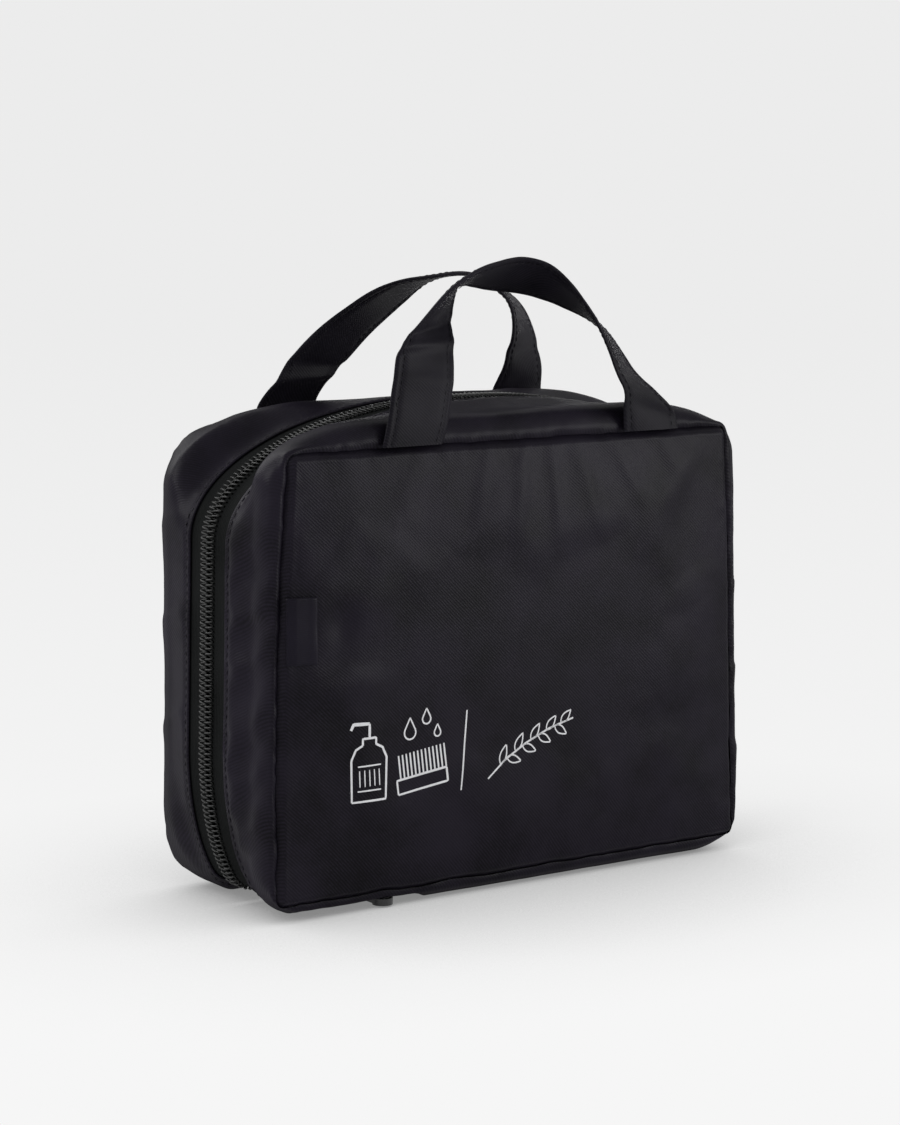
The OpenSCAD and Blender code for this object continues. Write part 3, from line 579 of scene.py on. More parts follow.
def gusset_relief(side, points, across):
    """How far the cloth stands out of the smooth band, in mm."""
    x, y, z = points.T
    key, edge_key = np.c_[x, y * 0.35, z], np.c_[x, np.zeros(len(x)), z]
    # The lip at the seam, gathered by its stitches, and the groove beside it
    lip = 0.35 * np.exp(-((across - 1.8) / 1.1) ** 2) * (1 + 0.25 * noise_at(key, 9, 3))
    gather = 0.4 * noise_at(edge_key, 3.6, 4) * np.exp(-across / 2.6)
    groove = -0.7 * np.exp(-(across / 1.2) ** 2)
    # The channel of the topstitching and the small puckers beside it
    beside = abs(abs(y) - stitch_y)
    channel = -0.45 * np.exp(-(beside / 0.9) ** 2)
    pucker = 0.34 * noise_at(edge_key, 4.2, 5) * np.exp(-beside / 3.2) * (abs(y) > tape_show + 0.5)
    sag = 0.5 * noise_at(key, 34, 6) + 0.2 * noise_at(key, 14, 7) - 0.35
    sag = sag * np.sin(np.pi * np.clip(across / 30, 0, 1)) ** 0.8
    move = lip + gather + channel + pucker + sag
    for crease in CREASES[side]:
        move = move + facet(points, *crease)
    most_out = np.full(len(x), MOST_OUT)
    if side == "front":
        slant = z + 0.62 * (y + 28) + 3.5 * noise_at(key, 30, 8) + 1.5 * noise_at(key, 9, 9)
        flat_folds = np.interp(slant, FOLDS_AT, FOLDS_HIGH) * ease((-x - 100) / 10)
        move = move + flat_folds * ease((across - 1.5) / 7) * ease((beside - 0.5) / 5)
        most_out[x < 0] = MOST_OUT_LEFT
    most = np.where(move > 0, most_out, MOST_IN)
    return (most * np.tanh(move / most) + groove) * (0.25 + 0.75 * ease((z - 4) / 10))


def gusset_cloth(side):
    points, faces, out, across, shown_points = gusset_sheet(side)
    move = gusset_relief(side, points, across)
    move[shown_points:] = 0
    runs_up = upright(points[:, 0], side)
    points = points + out * move[:, None]
    stray = wander(points[:, 0], points[:, 2]) * np.exp(-across / 4)
    points[:, 2] += stray * ~runs_up
    points[:, 0] += stray * runs_up
    points[:, 2] = np.maximum(points[:, 2], FLOOR_GAP)
    return piece(f"{side}_gusset_cloth", points, faces, twill, f"{side}_half", "outer_cloth",
                 f"{side}_gusset")


for side in SIDE:
    cloth = gusset_cloth(side)
    print(cloth.name, len(cloth.data.vertices), "points")

# %% [markdown]
# ## Panels
# The front and back are foam pads with cloth pulled over them, so each is a shallow
# pillow pinned down all round by its seam. A sheet cut a little too large for its frame
# is pinned at the seam and pushed out from inside, and finds its own folds. Foam holds
# most of the height, so the sheet decides a fifth of it. The long folds under the top
# seam and the lip, groove and gathers at the seam are then laid over it.

# %% Panel grid
def panel_grid(side, columns, rows):
    """A sheet of points over a panel, from its four edges inwards."""
    ring = seam_ring(side, np.linspace(0, 1, 1201))
    drawn_in = SEAM_R[side] * EDGE_IN
    corners = [(drawn_in - half_bottom[side], z_lift + drawn_in),
               (drawn_in - half_top[side], z_top[side] - drawn_in)]
    low, high = (int(np.argmin(((ring - c) ** 2).sum(1))) for c in corners)
    n = len(ring)
    along, up = np.linspace(0, 1, columns), np.linspace(0, 1, rows)
    left_e = spread(ring[low:high + 1], up)
    right_e = spread(ring[n - high:n - low + 1][::-1], up)
    top_e = spread(ring[high:n - high + 1], along)
    bottom_e = spread(np.vstack([ring[n - low:], ring[:low + 1]])[::-1], along)
    u, v = (share[..., None] for share in np.meshgrid(along, up))
    flat = ((1 - u) * left_e[:, None] + u * right_e[:, None] + (1 - v) * bottom_e[None] + v * top_e[None]
            - (1 - u) * (1 - v) * bottom_e[0] - u * (1 - v) * bottom_e[-1]
            - (1 - u) * v * top_e[0] - u * v * top_e[-1])
    return flat.reshape(-1, 2)


def rim_distance(flat, side):
    """How far each point of a panel is from its seam, in mm."""
    ring = seam_ring(side, np.linspace(0, 1, 181))
    gaps = np.full(len(flat), 1e9)
    for a, b in zip(ring, np.roll(ring, -1, 0)):
        way = b - a
        t = np.clip(((flat - a) @ way) / max(way @ way, 1e-9), 0, 1)
        gaps = np.minimum(gaps, np.linalg.norm(flat - a - t[:, None] * way, axis=1))
    return gaps


# %% The simulated sheet
COLUMNS, ROWS = 85, 67      # points across and up the simulated sheet
FINE_COLUMNS, FINE_ROWS = 2 * COLUMNS - 1, 2 * ROWS - 1
STEPS = 20                  # steps of the simulation


def blown_up(gap):
    """The pillow that the sheet starts from, in mm above its seam."""
    return 4.2 * (1 - np.exp(-gap / 16))


def simulated(side):
    """Points of the cloth over its panel, in mm, from a pinned and inflated sheet."""
    flat = panel_grid(side, COLUMNS, ROWS)
    gap = rim_distance(flat, side)
    points = np.c_[flat[:, 0], blown_up(gap) + 0.25 * noise_at(flat_key(flat), 20, 9), flat[:, 1]]
    data = bpy.data.meshes.new("sheet")
    data.from_pydata((points * MM).tolist(), [], grid_faces(ROWS, COLUMNS).tolist())
    sheet = bpy.data.objects.new("sheet", data)
    bpy.context.collection.objects.link(sheet)
    pin = sheet.vertex_groups.new(name="seam")
    pin.add([int(i) for i in np.where(gap < 0.6)[0]], 1.0, "REPLACE")
    cloth = sheet.modifiers.new("cloth", "CLOTH")
    settings = {"quality": 6, "mass": 0.25, "tension_stiffness": 18, "compression_stiffness": 18,
                "shear_stiffness": 8, "bending_stiffness": 0.35, "vertex_group_mass": "seam",
                "shrink_min": -0.016, "use_pressure": True, "uniform_pressure_force": 4.0}
    for name, value in settings.items():
        setattr(cloth.settings, name, value)
    cloth.settings.effector_weights.gravity = 0
    cloth.collision_settings.use_collision = False
    bpy.context.scene.frame_end = STEPS + 4
    for step in range(1, STEPS + 1):
        bpy.context.scene.frame_set(step)
    held = sheet.evaluated_get(bpy.context.evaluated_depsgraph_get())
    out = np.zeros(len(points) * 3)
    held.data.vertices.foreach_get("co", out)
    bpy.data.objects.remove(sheet)
    bpy.context.scene.frame_set(1)
    return points + np.clip(out.reshape(-1, 3) / MM - points, -6, 6)


def finer(values, rows, columns):
    """A grid of values with a new point between each two, smoothly placed."""
    grid = values.reshape(rows, columns, -1)

    def between(g):
        pad = np.concatenate([2 * g[:1] - g[1:2], g, 2 * g[-1:] - g[-2:-1]])
        mid = (-pad[:-3] + 9 * pad[1:-2] + 9 * pad[2:-1] - pad[3:]) / 16
        out = np.empty((2 * len(g) - 1, *g.shape[1:]))
        out[::2], out[1::2] = g, mid
        return out
    grid = between(grid)
    return between(grid.transpose(1, 0, 2)).transpose(1, 0, 2).reshape((2 * rows - 1) * (2 * columns - 1), -1)


def evened(values, rows, columns, reach):
    """A grid of values, averaged with its neighbours several times."""
    grid = values.reshape(rows, columns)
    for step in range(reach * reach // 2):
        pad = np.pad(grid, 1, mode="edge")
        grid = 0.5 * grid + 0.125 * (pad[:-2, 1:-1] + pad[2:, 1:-1] + pad[1:-1, :-2] + pad[1:-1, 2:])
    return grid.ravel()


# %% Panels in cloth
# Each fold: start, end, height and width. Each dent: place, depth and size
PANEL_FOLDS = {
    "front": [((-14, 173), (-22, 146), 0.22, 4), ((2, 173), (-3, 138), 0.3, 4),
              ((15, 174), (17, 132), 0.26, 3.5), ((27, 174), (37, 136), 0.3, 4),
              ((43, 174), (60, 146), 0.24, 4), ((66, 174), (80, 156), 0.2, 4),
              ((-44, 172), (-58, 152), 0.2, 6), ((88, 166), (58, 132), 0.25, 9),
              ((-106, 84), (-66, 92), 0.5, 9), ((-107, 66), (-84, 72), 0.3, 8),
              ((-96, 118), (-60, 122), 0.2, 10)],
    "rear": [((-60, 174), (-48, 136), 0.4, 8), ((-10, 175), (0, 134), 0.45, 8),
             ((40, 175), (36, 138), 0.45, 8), ((-106, 80), (-70, 90), 0.4, 8),
             ((106, 70), (72, 84), 0.4, 8)],
}
PANEL_DENTS = {"front": [(-84, 112, 1.3, 6.5), (-87, 100, 0.5, 9)], "rear": [(70, 100, 0.6, 16)]}
FOAM = 5.2              # height of the foam's pillow in the middle, in mm
FROM_CLOTH = 0.22       # share of the height that the simulated sheet decides


def panel_height(side, flat, gap, height, x, z):
    """Height of the finished cloth over the seam's plane, from the sheet's height."""
    # Foam under the cloth keeps the middle full and evens out the sheet's deepest folds
    up, wide = flat[:, 1], half_bottom[side] - abs(flat[:, 0])
    full = FOAM * (1 - np.exp(-wide / 22)) * (1 - np.exp((up - z_top[side]) / 25))
    full = full * (1 - np.exp((z_lift - up) / 22))
    soft = evened(height, FINE_ROWS, FINE_COLUMNS, 9)
    sheet = soft + 0.25 * (height - soft)
    height = np.clip(gap / 3, 0, 1) * (FROM_CLOTH * sheet + (1 - FROM_CLOTH) * full)
    key = flat_key(flat)
    lip = 0.32 * np.exp(-((gap - 2.0) / 1.2) ** 2) * (1 + 0.25 * noise_at(key, 9, 11))
    groove = -1.6 * np.exp(-(gap / 1.4) ** 2)
    gather = 0.22 * noise_at(key, 3.8, 12) * np.exp(-gap / 4)
    gather = gather + 0.16 * noise_at(key, 11, 13) * np.exp(-gap / 12)
    height = height + lip + groove + gather * (gap > 0.3)
    for crease in PANEL_FOLDS[side]:
        height = height + fold(np.c_[x, z], *crease)
    for px, pz, depth, size in PANEL_DENTS[side]:
        height = height - depth * np.exp(-(((x - px) ** 2 + ((z - pz) * 0.8) ** 2) / size ** 2))
    return height + 0.25 * noise_at(key, 60, 14) * ease(gap / 20)


def panel_cloth(side):
    s = SIDE[side]
    flat = panel_grid(side, COLUMNS, ROWS)
    points = simulated(side)
    points, flat = finer(points, ROWS, COLUMNS), finer(flat, ROWS, COLUMNS)
    gap = rim_distance(flat, side)
    x, z = points[:, 0], points[:, 2]
    height = panel_height(side, flat, gap, np.clip(points[:, 1], -0.5, 6.5), x, z)
    stray = wander(x, z) * np.exp(-gap / 4)
    x, z = flat[:, 0] * 0.3 + x * 0.7, flat[:, 1] * 0.3 + z * 0.7
    z = z + stray * ~upright(x, side)
    x = x + stray * upright(x, side)
    base = y_seam + 0.1 + 1.1 * ease(gap / 2)
    points = np.c_[x, s * (base + height), np.maximum(z, 0.1)]
    faces = grid_faces(FINE_ROWS, FINE_COLUMNS)
    return piece(f"{side}_panel_cloth", points, faces if s < 0 else faces[:, ::-1], twill,
                 f"{side}_half", "outer_cloth", f"{side}_panel", f"{side}_padding")


for side in SIDE:
    cloth = panel_cloth(side)
    spread_y = [v.co.y / MM for v in cloth.data.vertices]
    print(cloth.name, "y from", round(min(spread_y), 1), "to", round(max(spread_y), 1))

# %% [markdown]
# ## Linings and bindings
# Inside, each half is lined with grey taffeta, which hangs a little loose. Its raw seam
# with the outer cloth is covered by a narrow ribbed ribbon folded over the edge.

# %% Linings
inner_edge = 2.2                    # how far the inner seam lies inside the outer one
y_inside = y_seam - 2.7             # inner face of the lining
WALL_IN = 1.3                       # how far the wall of the lining lies inside the gusset


def lining_cloth(side):
    s = SIDE[side]
    flat = panel_grid(side, 61, 47)
    mid = np.array([0, z_lift + 84.5])
    flat = mid + (flat - mid) * (1 - inner_edge / 105)
    gap = rim_distance(flat, side)
    key = flat_key(flat)
    slack = (0.5 + 0.45 * noise_at(key, 26, 21) + 0.25 * noise_at(key, 9, 22)) * ease((gap - 9) / 20)
    floor = np.c_[flat[:, 0], s * (y_inside - 0.02 - np.clip(slack, 0, 1.3)), flat[:, 1]]
    rings = [gusset_ring(side, w, WALL_IN) for w in even_rows(0.22, 1.80, 16, side)]
    wall = np.vstack(rings)
    wall_faces = grid_faces(len(rings), len(rings[0]), closed=True)
    out = normals_of(wall, wall_faces)
    if ((wall - MIDDLE) * out).sum() < 0:
        out = -out
    ripple = np.clip(0.5 + 0.5 * noise_at(wall * [1, 0.4, 1], 18, 23), 0, 1.1)
    level = np.repeat(np.sin(np.pi * np.linspace(0.04, 1, len(rings))) ** 0.6, len(rings[0]))
    wall = wall - out * (0.1 + 0.8 * ripple * level)[:, None]
    points, faces = join([(floor, grid_faces(47, 61)), (wall, wall_faces)])
    return piece(f"{side}_lining_cloth", points, faces, taffeta, f"{side}_half", "lining",
                 f"{side}_lining", f"{side}_gusset_lining")


for side in SIDE:
    print(lining_cloth(side).name)


# %% Bindings
BINDING_W, BINDING_T = 7, 2.0


def binding_ribbon(side):
    """A flat ribbon standing on an inner seam, rounded over its folded edges."""
    ring = whole(spread(seam_line(side, inner_edge), shares))
    bumps = 0.18 * noise_at(flat_key(ring), 6, 31)
    parts = []
    for d, h in ((0, 0.1), (0.2, 0.75), (0.9, 1.0), (BINDING_W / 2, 1.1), (BINDING_W - 0.9, 1.0),
                 (BINDING_W - 0.2, 0.75), (BINDING_W, 0.1)):
        flat = push_in(ring, d)
        rise = BINDING_T * h + (bumps if 0.5 < d < BINDING_W - 0.5 else 0)
        y = np.full(len(flat), SIDE[side] * (y_inside - 0.02 - rise))
        parts.append(np.c_[flat[:, 0], y, flat[:, 1]])
    faces = grid_faces(len(parts), len(ring), closed=True)
    return piece(f"{side}_binding_ribbon", np.vstack(parts), faces, ribbon, f"{side}_half", "binding",
                 f"{side}_binding")


for side in SIDE:
    print(binding_ribbon(side).name)

# %% [markdown]
# ## The zip
# A coil zip is a plastic spiral sewn along the edge of a woven tape. Closed, the two
# spirals mesh, each turn lying between two of its neighbour's. The real coil has a turn
# every 2 mm, finer than the solids carry, so both coils are built here as spirals.

# %% Zip tapes
TAPE_ROWS = [1.15, 1.7, 3.0, 4.6, 5.4, 6.2, 8.0, 10.0, 12.0, 14.0, 16.0]    # out from the coil
TAPE_TOP, TAPE_UNDER = 1.3, 2.0     # how far the two faces lie inside the zip's line
RIDGE_AT = 5.4                      # woven ridge beside the coil
NEAR_Y = 0.01                       # a plane just beside the middle of the zip
TO_SHOULDER_Z = 26                  # beyond this height no line is under the base


def zip_ring(line, inside, y=NEAR_Y):
    """A line of the zip as (x, z) in the plane at y, lifted off the run and moved inwards."""
    return push_in(np.c_[line[:, 0], lift_off(line[:, 0], line[:, 1], y)], inside)


def open_part(ring_xz, x_end):
    """Which points of a ring lie beyond the fold under the base."""
    return (abs(ring_xz[:, 0]) > x_end) | (ring_xz[:, 1] > TO_SHOULDER_Z)


def tape_cloth(side):
    s = SIDE[side]
    keep = open_part(zip_ring(zip_loop, TAPE_TOP), fold_half - 1)
    top, under = [], []
    for y in TAPE_ROWS:
        ridge = 0.15 * math.exp(-((y - RIDGE_AT) / 0.7) ** 2)
        for rows, depth in ((top, TAPE_TOP - ridge), (under, TAPE_UNDER)):
            flat = zip_ring(zip_loop, depth, s * NEAR_Y)[keep]
            rows.append(np.c_[flat[:, 0], np.full(len(flat), s * y), flat[:, 1]])
    rows = top + under[::-1]
    points = np.vstack(rows)
    faces = grid_faces(len(rows), len(rows[0]))
    if side == "rear":
        # The rear tape is let out round the slider
        x, y, z = points.T
        cut = (x > slider_low[0] - 1) & (x < 0) & (z < 12) & (y < 8.3)
        faces = faces[~cut[faces].any(axis=1)]
    faces = faces if s < 0 else faces[:, ::-1]
    return piece(f"{side}_zip_tape_cloth", points, faces, tape_weave, f"{side}_half", "zip_tape",
                 f"{side}_zip_tape")


for side in SIDE:
    print(tape_cloth(side).name)

# %% Coils
COIL_PITCH = 2.0
WIRE = 0.36             # radius of the nylon wire
PER_TURN = 10           # points on each turn
REACH, COIL_MID, HALF_H = 2.35, 1.95, 0.72      # half width, middle in y and half height
RUN_Y = (1.75, 4.05)    # on the run it keeps clear of the slider's post and of its flanges


def coil_spiral(side):
    """A flattened spiral that runs along the zip's line, just outside its tape."""
    s = SIDE[side]
    flat = zip_ring(whole(spread(zip_run, np.linspace(0, 1, 2401))), 0.22)
    flat = flat[open_part(flat, fold_half + 3.2)]
    steps = np.r_[0, np.cumsum(np.linalg.norm(np.diff(flat, axis=0), axis=1))]
    n = int(steps[-1] / COIL_PITCH) * PER_TURN + 1
    at = np.linspace(0, steps[-1], n)
    cx, cz = np.interp(at, steps, flat[:, 0]), np.interp(at, steps, flat[:, 1])
    tx, tz = np.gradient(cx), np.gradient(cz)
    size = np.hypot(tx, tz)
    tx, tz = tx / size, tz / size
    nx, nz = tz, -tx
    angle = 2 * np.pi * (np.arange(n) / PER_TURN + (0 if s < 0 else 0.5))
    # A turn reaches from just past the middle of the chain to the coil's outer side
    y = s * (COIL_MID + REACH * np.sign(np.cos(angle)) * abs(np.cos(angle)) ** 0.75)
    lean = HALF_H * np.sin(angle)
    on_run = (cz < z_arch + 1.2) & (cx < 0)
    y = np.where(on_run, s * np.clip(s * y, *RUN_Y), y)
    path = np.c_[cx + nx * (lean + 0.35), y, cz + nz * (lean + 0.35)]
    if side == "rear":
        path = path[~(on_run & (cx > slider_low[0] - 1.2))]
    return path


def wire(path, radius, sides=5):
    """A tube round a line of points."""
    t = np.gradient(path, axis=0)
    t /= np.maximum(np.linalg.norm(t, axis=1), 1e-9)[:, None]
    a = np.cross(t, [0, 0.2, 1.0])
    a /= np.maximum(np.linalg.norm(a, axis=1), 1e-9)[:, None]
    b = np.cross(t, a)
    turns = [2 * math.pi * k / sides for k in range(sides)]
    rings = [path + radius * (math.cos(turn) * a + math.sin(turn) * b) for turn in turns]
    return np.stack(rings, axis=1).reshape(-1, 3), grid_faces(len(path), sides, closed=True)


for side in SIDE:
    path = coil_spiral(side)
    points, faces = wire(path, WIRE)
    coil = piece(f"{side}_coil", points, faces, nylon, f"{side}_half", "coil", f"{side}_zip_teeth")
    print(coil.name, "turns every", COIL_PITCH, "mm,", len(path) // PER_TURN, "turns")

# %% [markdown]
# ## The fold under the base
# Between the two ends of the zip the halves are still one cloth, which bends when the bag opens.
# Here it is one sheet from the rear half to the front half, shaped as it lies shut.

# %% Base fold
def base_fold():
    columns, rows, cloth_mm = 110, 26, 0.9
    xs = np.linspace(-(fold_half - 0.5), fold_half - 0.5, columns)
    ys = np.linspace(-(tape_show + 0.4), tape_show + 0.4, rows)
    x, y = (axis.ravel() for axis in np.meshgrid(xs, ys))
    z = lift_off(x, np.zeros(len(x)), y)
    ripple = 0.25 * noise_at(np.c_[x, y, x * 0], 9, 41) * ease((15 - abs(y)) / 6)
    z = np.maximum(z + 0.25 + ripple, 0.03)
    faces = grid_faces(rows, columns)
    points, both = join([(np.c_[x, y, z], faces[:, ::-1]), (np.c_[x, y, z + cloth_mm], faces)])
    obj = piece("base_fold_cloth", points, both, twill, None, "outer_cloth")
    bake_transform(obj)
    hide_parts("front_base_fold", "rear_base_fold")
    return obj


print(base_fold().name)

# %% [markdown]
# ## Handles
# Each handle is a flat strap of doubled twill, stitched along both edges. A strap can't
# bend across its width, so where it turns sideways it twists, and one leg of the front
# handle shows a sharp fold. Its middle line and its twist follow the CAD stations, with a
# point every 2 mm, so that the light runs along it without a break.

# %% Strap shape
SPAN, RISE, STRAP_W, STRAP_T = 56.5, 64.0, 27.0, 1.7
# Each station: share of the half span, depth in front of the seam, share of the rise, and
# the strap's turn and dip in degrees
STATIONS = {
    "front": [(-0.89, -1.9, 0.005, 0, 0), (-0.84, -1.6, 0.16, 0, -6), (-0.77, 0.5, 0.42, 0, -5),
              (-0.72, 3, 0.58, 8, 2), (-0.6, 7, 0.73, 26, 8), (-0.44, 9, 0.89, 48, 1),
              (-0.31, 10, 0.95, 60, -10), (-0.17, 11, 0.975, 72, -20), (0.07, 12, 0.98, 82, -30),
              (0.33, 11.5, 0.935, 76, -27), (0.59, 10, 0.81, 62, -16), (0.82, 7, 0.625, 48, -4),
              (0.98, 3.7, 0.37, 36, -5), (1.08, 1.4, 0.24, 24, -4), (1.11, -1.4, 0.13, 6, -2),
              (1.13, -1.9, 0.005, 0, 0)],
    "rear": [(-1.01, -1.9, 0.005, 0, 0), (-0.98, -1.8, 0.14, 0, 3), (-0.88, 1, 0.28, 2, 3),
             (-0.72, 3, 0.44, 12, -12), (-0.5, 5, 0.61, 24, -18), (-0.2, 8, 0.785, 38, -16),
             (0.1, 10.5, 0.885, 54, -4), (0.42, 11, 0.895, 56, -2), (0.69, 10, 0.79, 54, 0),
             (0.86, 8, 0.68, 46, 2), (0.97, 5, 0.5, 34, 1), (1.01, 1.5, 0.29, 18, 0),
             (1.0, -1.7, 0.14, 6, 0), (0.99, -1.9, 0.005, 0, 0)],
}


def smooth_run(stations, n):
    """A smooth curve through stations, n steps between each two."""
    s = np.array(stations, float)
    m = len(s) - 1
    out = []
    for i in range(m):
        a, b, c, d = s[max(0, i - 1)], s[i], s[i + 1], s[min(m, i + 2)]
        for k in range(n + (1 if i == m - 1 else 0)):
            t = k / n
            out.append(0.5 * (2 * b + (c - a) * t + (2 * a - 5 * b + 4 * c - d) * t * t
                              + (3 * b - a - 3 * c + d) * t ** 3))
    return np.array(out)


def strap_frame(side):
    """Middle line, width direction and face direction all along a strap."""
    s = smooth_run(STATIONS[side], 9)
    p = np.c_[s[:, 0] * SPAN, SIDE[side] * (y_seam - s[:, 1]), z_top[side] + s[:, 2] * RISE]
    t = np.gradient(p, axis=0)
    t /= np.linalg.norm(t, axis=1)[:, None]
    turn, dip = np.radians(s[:, 3]), np.radians(s[:, 4])
    w = np.c_[np.cos(turn) * np.cos(dip), np.sin(turn) * np.cos(dip), np.sin(dip)]
    n = np.cross(w, t)
    n /= np.linalg.norm(n, axis=1)[:, None]
    return p, w, n


# Each crease: share of the length, reach in mm and height in mm
STRAP_CREASES = {"front": [(0.205, 2.2, 0.9), (0.245, 2.0, -0.7), (0.13, 3, 0.4)],
                 "rear": [(0.11, 2.5, 0.8), (0.15, 2.5, -0.6), (0.86, 3, 0.7)]}
STITCHED = 0.8                  # share of the half width at which the edges are stitched
HALF_ACROSS = [0.3, 0.55, 0.74, STITCHED, 0.86, 0.95, 0.985, 1]


def strap_cloth(side):
    p, w, n = strap_frame(side)
    across = np.array([-u for u in HALF_ACROSS[::-1]] + [0] + HALF_ACROSS)
    length = np.r_[0, np.cumsum(np.linalg.norm(np.diff(p, axis=0), axis=1))]
    rows = []
    for face in (-1, 1):
        order = across if face < 0 else across[::-1]
        for u in order:
            place = p + w * (u * STRAP_W / 2)
            # The edges are turned under, so they are fullest, with a stitched channel inside
            full = STRAP_T / 2 * (1 - abs(u) ** 14 * 0.85) + 0.18 * math.exp(-((abs(u) - 0.93) / 0.05) ** 2)
            dip = 0.32 * math.exp(-((abs(u) - STITCHED) / 0.045) ** 2)
            key = np.c_[length, np.full(len(p), u * 14), np.full(len(p), 50.0 * (face + 2))]
            beside = math.exp(-((abs(u) - STITCHED) / 0.2) ** 2)
            ripple = 0.3 * noise_at(key, 11, 51) + 0.22 * noise_at(key, 4.5, 52) * beside
            sway = 0.5 * noise_at(np.c_[length, np.zeros((len(p), 2)) + u * 6], 24, 53)
            rows.append(place + n * (face * (full - dip) + face * ripple * 0.5 + sway * 0.6)[:, None])
    grid = np.stack(rows, axis=1)
    for at, width, height in STRAP_CREASES[side]:
        near = np.exp(-((length - at * length[-1]) / width) ** 2)
        grid = grid + n[:, None] * (near * height)[:, None, None]
    faces = grid_faces(len(p), len(rows), closed=True)[:, ::-1]
    return piece(f"{side}_handle_strap", grid.reshape(-1, 3), faces, strap_twill, f"{side}_handle",
                 "outer_cloth", f"{side}_handle")


for side in SIDE:
    strap = strap_cloth(side)
    print(strap.name, len(strap.data.vertices), "points")

# %% [markdown]
# ## Label, pocket, elastic and webbing
# The side label is one strip of satin folded over, its ends caught in the seam. It stays
# bare here. The pocket is an open net with a taped top edge. The elastic is sewn down
# between its loops, and a webbing loop carries the hook.

# %% Side label
def label():
    low, high = box_mm("side_label")
    x0, x1 = low[0] - 1.2, high[0] - 4.6
    y_back, y_front = high[1] + 0.1, low[1]
    line = [(x0, y_back + 0.9), (x0 + 3, y_back - 0.1), (x1 - 2, y_back - 0.2)]
    r = (y_back - y_front) / 2 - 0.1
    line += [(x1 - r + r * math.sin(a), y_back - 0.2 - r + r * math.cos(a))
             for a in np.radians(np.linspace(10, 170, 9))]
    line += [(x1 - 2, y_front + 0.05), (x0 + 8, y_front + 0.25), (x0 + 3, y_front + 0.5), (x0, y_front + 1.9)]
    line = spread(np.array(line), np.linspace(0, 1, 60))
    rows = []
    for z in np.linspace(low[2], high[2], 34):
        k = (z - low[2]) / (high[2] - low[2])
        bow = 0.35 * math.sin(math.pi * k) + 0.2 * math.sin(2.3 * math.pi * k + 0.5)
        x, y = line[:, 0], line[:, 1] - bow * ease((line[:, 0] - x0) / 14)
        rows.append(np.c_[x, y, np.full(len(line), z) + 0.3 * np.sin(line[:, 0] / 6)])
    faces = grid_faces(len(rows), len(line))
    obj = piece("side_label_satin", np.vstack(rows), faces, satin, "front_half", "label", "side_label")
    return thicken(obj, 0.35)


print(label().name)


# %% Mesh pocket
def pocket_net():
    low, high = box_mm("mesh_pocket")
    cell = 2.6
    nx, nz = int((high[0] - low[0]) / cell), int((high[2] - low[2]) / cell)
    parts = []

    def skin_at(x, z):
        u = (x - low[0]) / (high[0] - low[0])
        v = (z - low[2]) / (high[2] - low[2])
        puff = ease(u * 9) * ease((1 - u) * 9) * ease(v * 5)
        slack = 0.35 * noise_at(np.c_[x, x * 0, z], 22, 61) + 0.8 * np.sin(np.pi * u) * ease((v - 0.4) / 0.6)
        return -y_inside + 0.35 + puff * (high[1] - low[1] - 1.1 + 0.4 * slack)
    # Two sets of slanting threads that cross, as in a knitted net
    for way in (1, -1):
        for k in range(-nz, nx + nz):
            t = np.linspace(0, 1, 60)
            z = low[2] + t * (high[2] - low[2])
            x = low[0] + (k + (t if way > 0 else (1 - t)) * nz) * cell + 0.35 * cell * np.sin(t * nz * np.pi)
            ok = (x > low[0]) & (x < high[0])
            if ok.sum() < 3:
                continue
            parts.append(wire(np.c_[x, skin_at(x, z) + 0.12 * way, z][ok], 0.3, 4))
    points, faces = join(parts)
    return piece("mesh_pocket_net", points, faces, knit, "front_half", "mesh", "mesh_pocket")


knit = smooth_finish("knitted_nylon_net", "#1c1c1f", 0.5, 0.7, 1.0, 0.04)
print(pocket_net().name)


def ribbon_box(low, high, bow, seed, columns=90, rounds=14):
    """A narrow ribbon folded over an edge that runs along x."""
    x = np.linspace(low[0], high[0], columns)
    mid_y, mid_z = (low[1] + high[1]) / 2, (low[2] + high[2]) / 2
    a = np.linspace(0, 2 * np.pi, rounds, endpoint=False)
    sy, sz = (high[1] - low[1]) / 2, (high[2] - low[2]) / 2
    py, pz = np.sign(np.cos(a)) * abs(np.cos(a)) ** 0.5, np.sign(np.sin(a)) * abs(np.sin(a)) ** 0.35
    key = np.c_[x, x * 0, x * 0]
    swell = 1 + 0.06 * noise_at(key, 5, seed)
    bend = bow * np.sin(np.pi * (x - low[0]) / (high[0] - low[0]))
    points = np.stack([np.stack([x, mid_y + bend + py[k] * sy * swell, mid_z + pz[k] * sz * swell], 1)
                       for k in range(rounds)], axis=1).reshape(-1, 3)
    ends = [list(range(rounds))[::-1], [(columns - 1) * rounds + k for k in range(rounds)]]
    return points, grid_faces(columns, rounds, closed=True).tolist() + ends


low, high = box_mm("pocket_edge")
points, faces = ribbon_box(low, high, 0.35, 62)
print(piece("pocket_edge_ribbon", points, faces, ribbon, "front_half", "binding", "pocket_edge").name)

# %% Elastic loops
LOOPS, LOOP_STEP = 5, 31.0


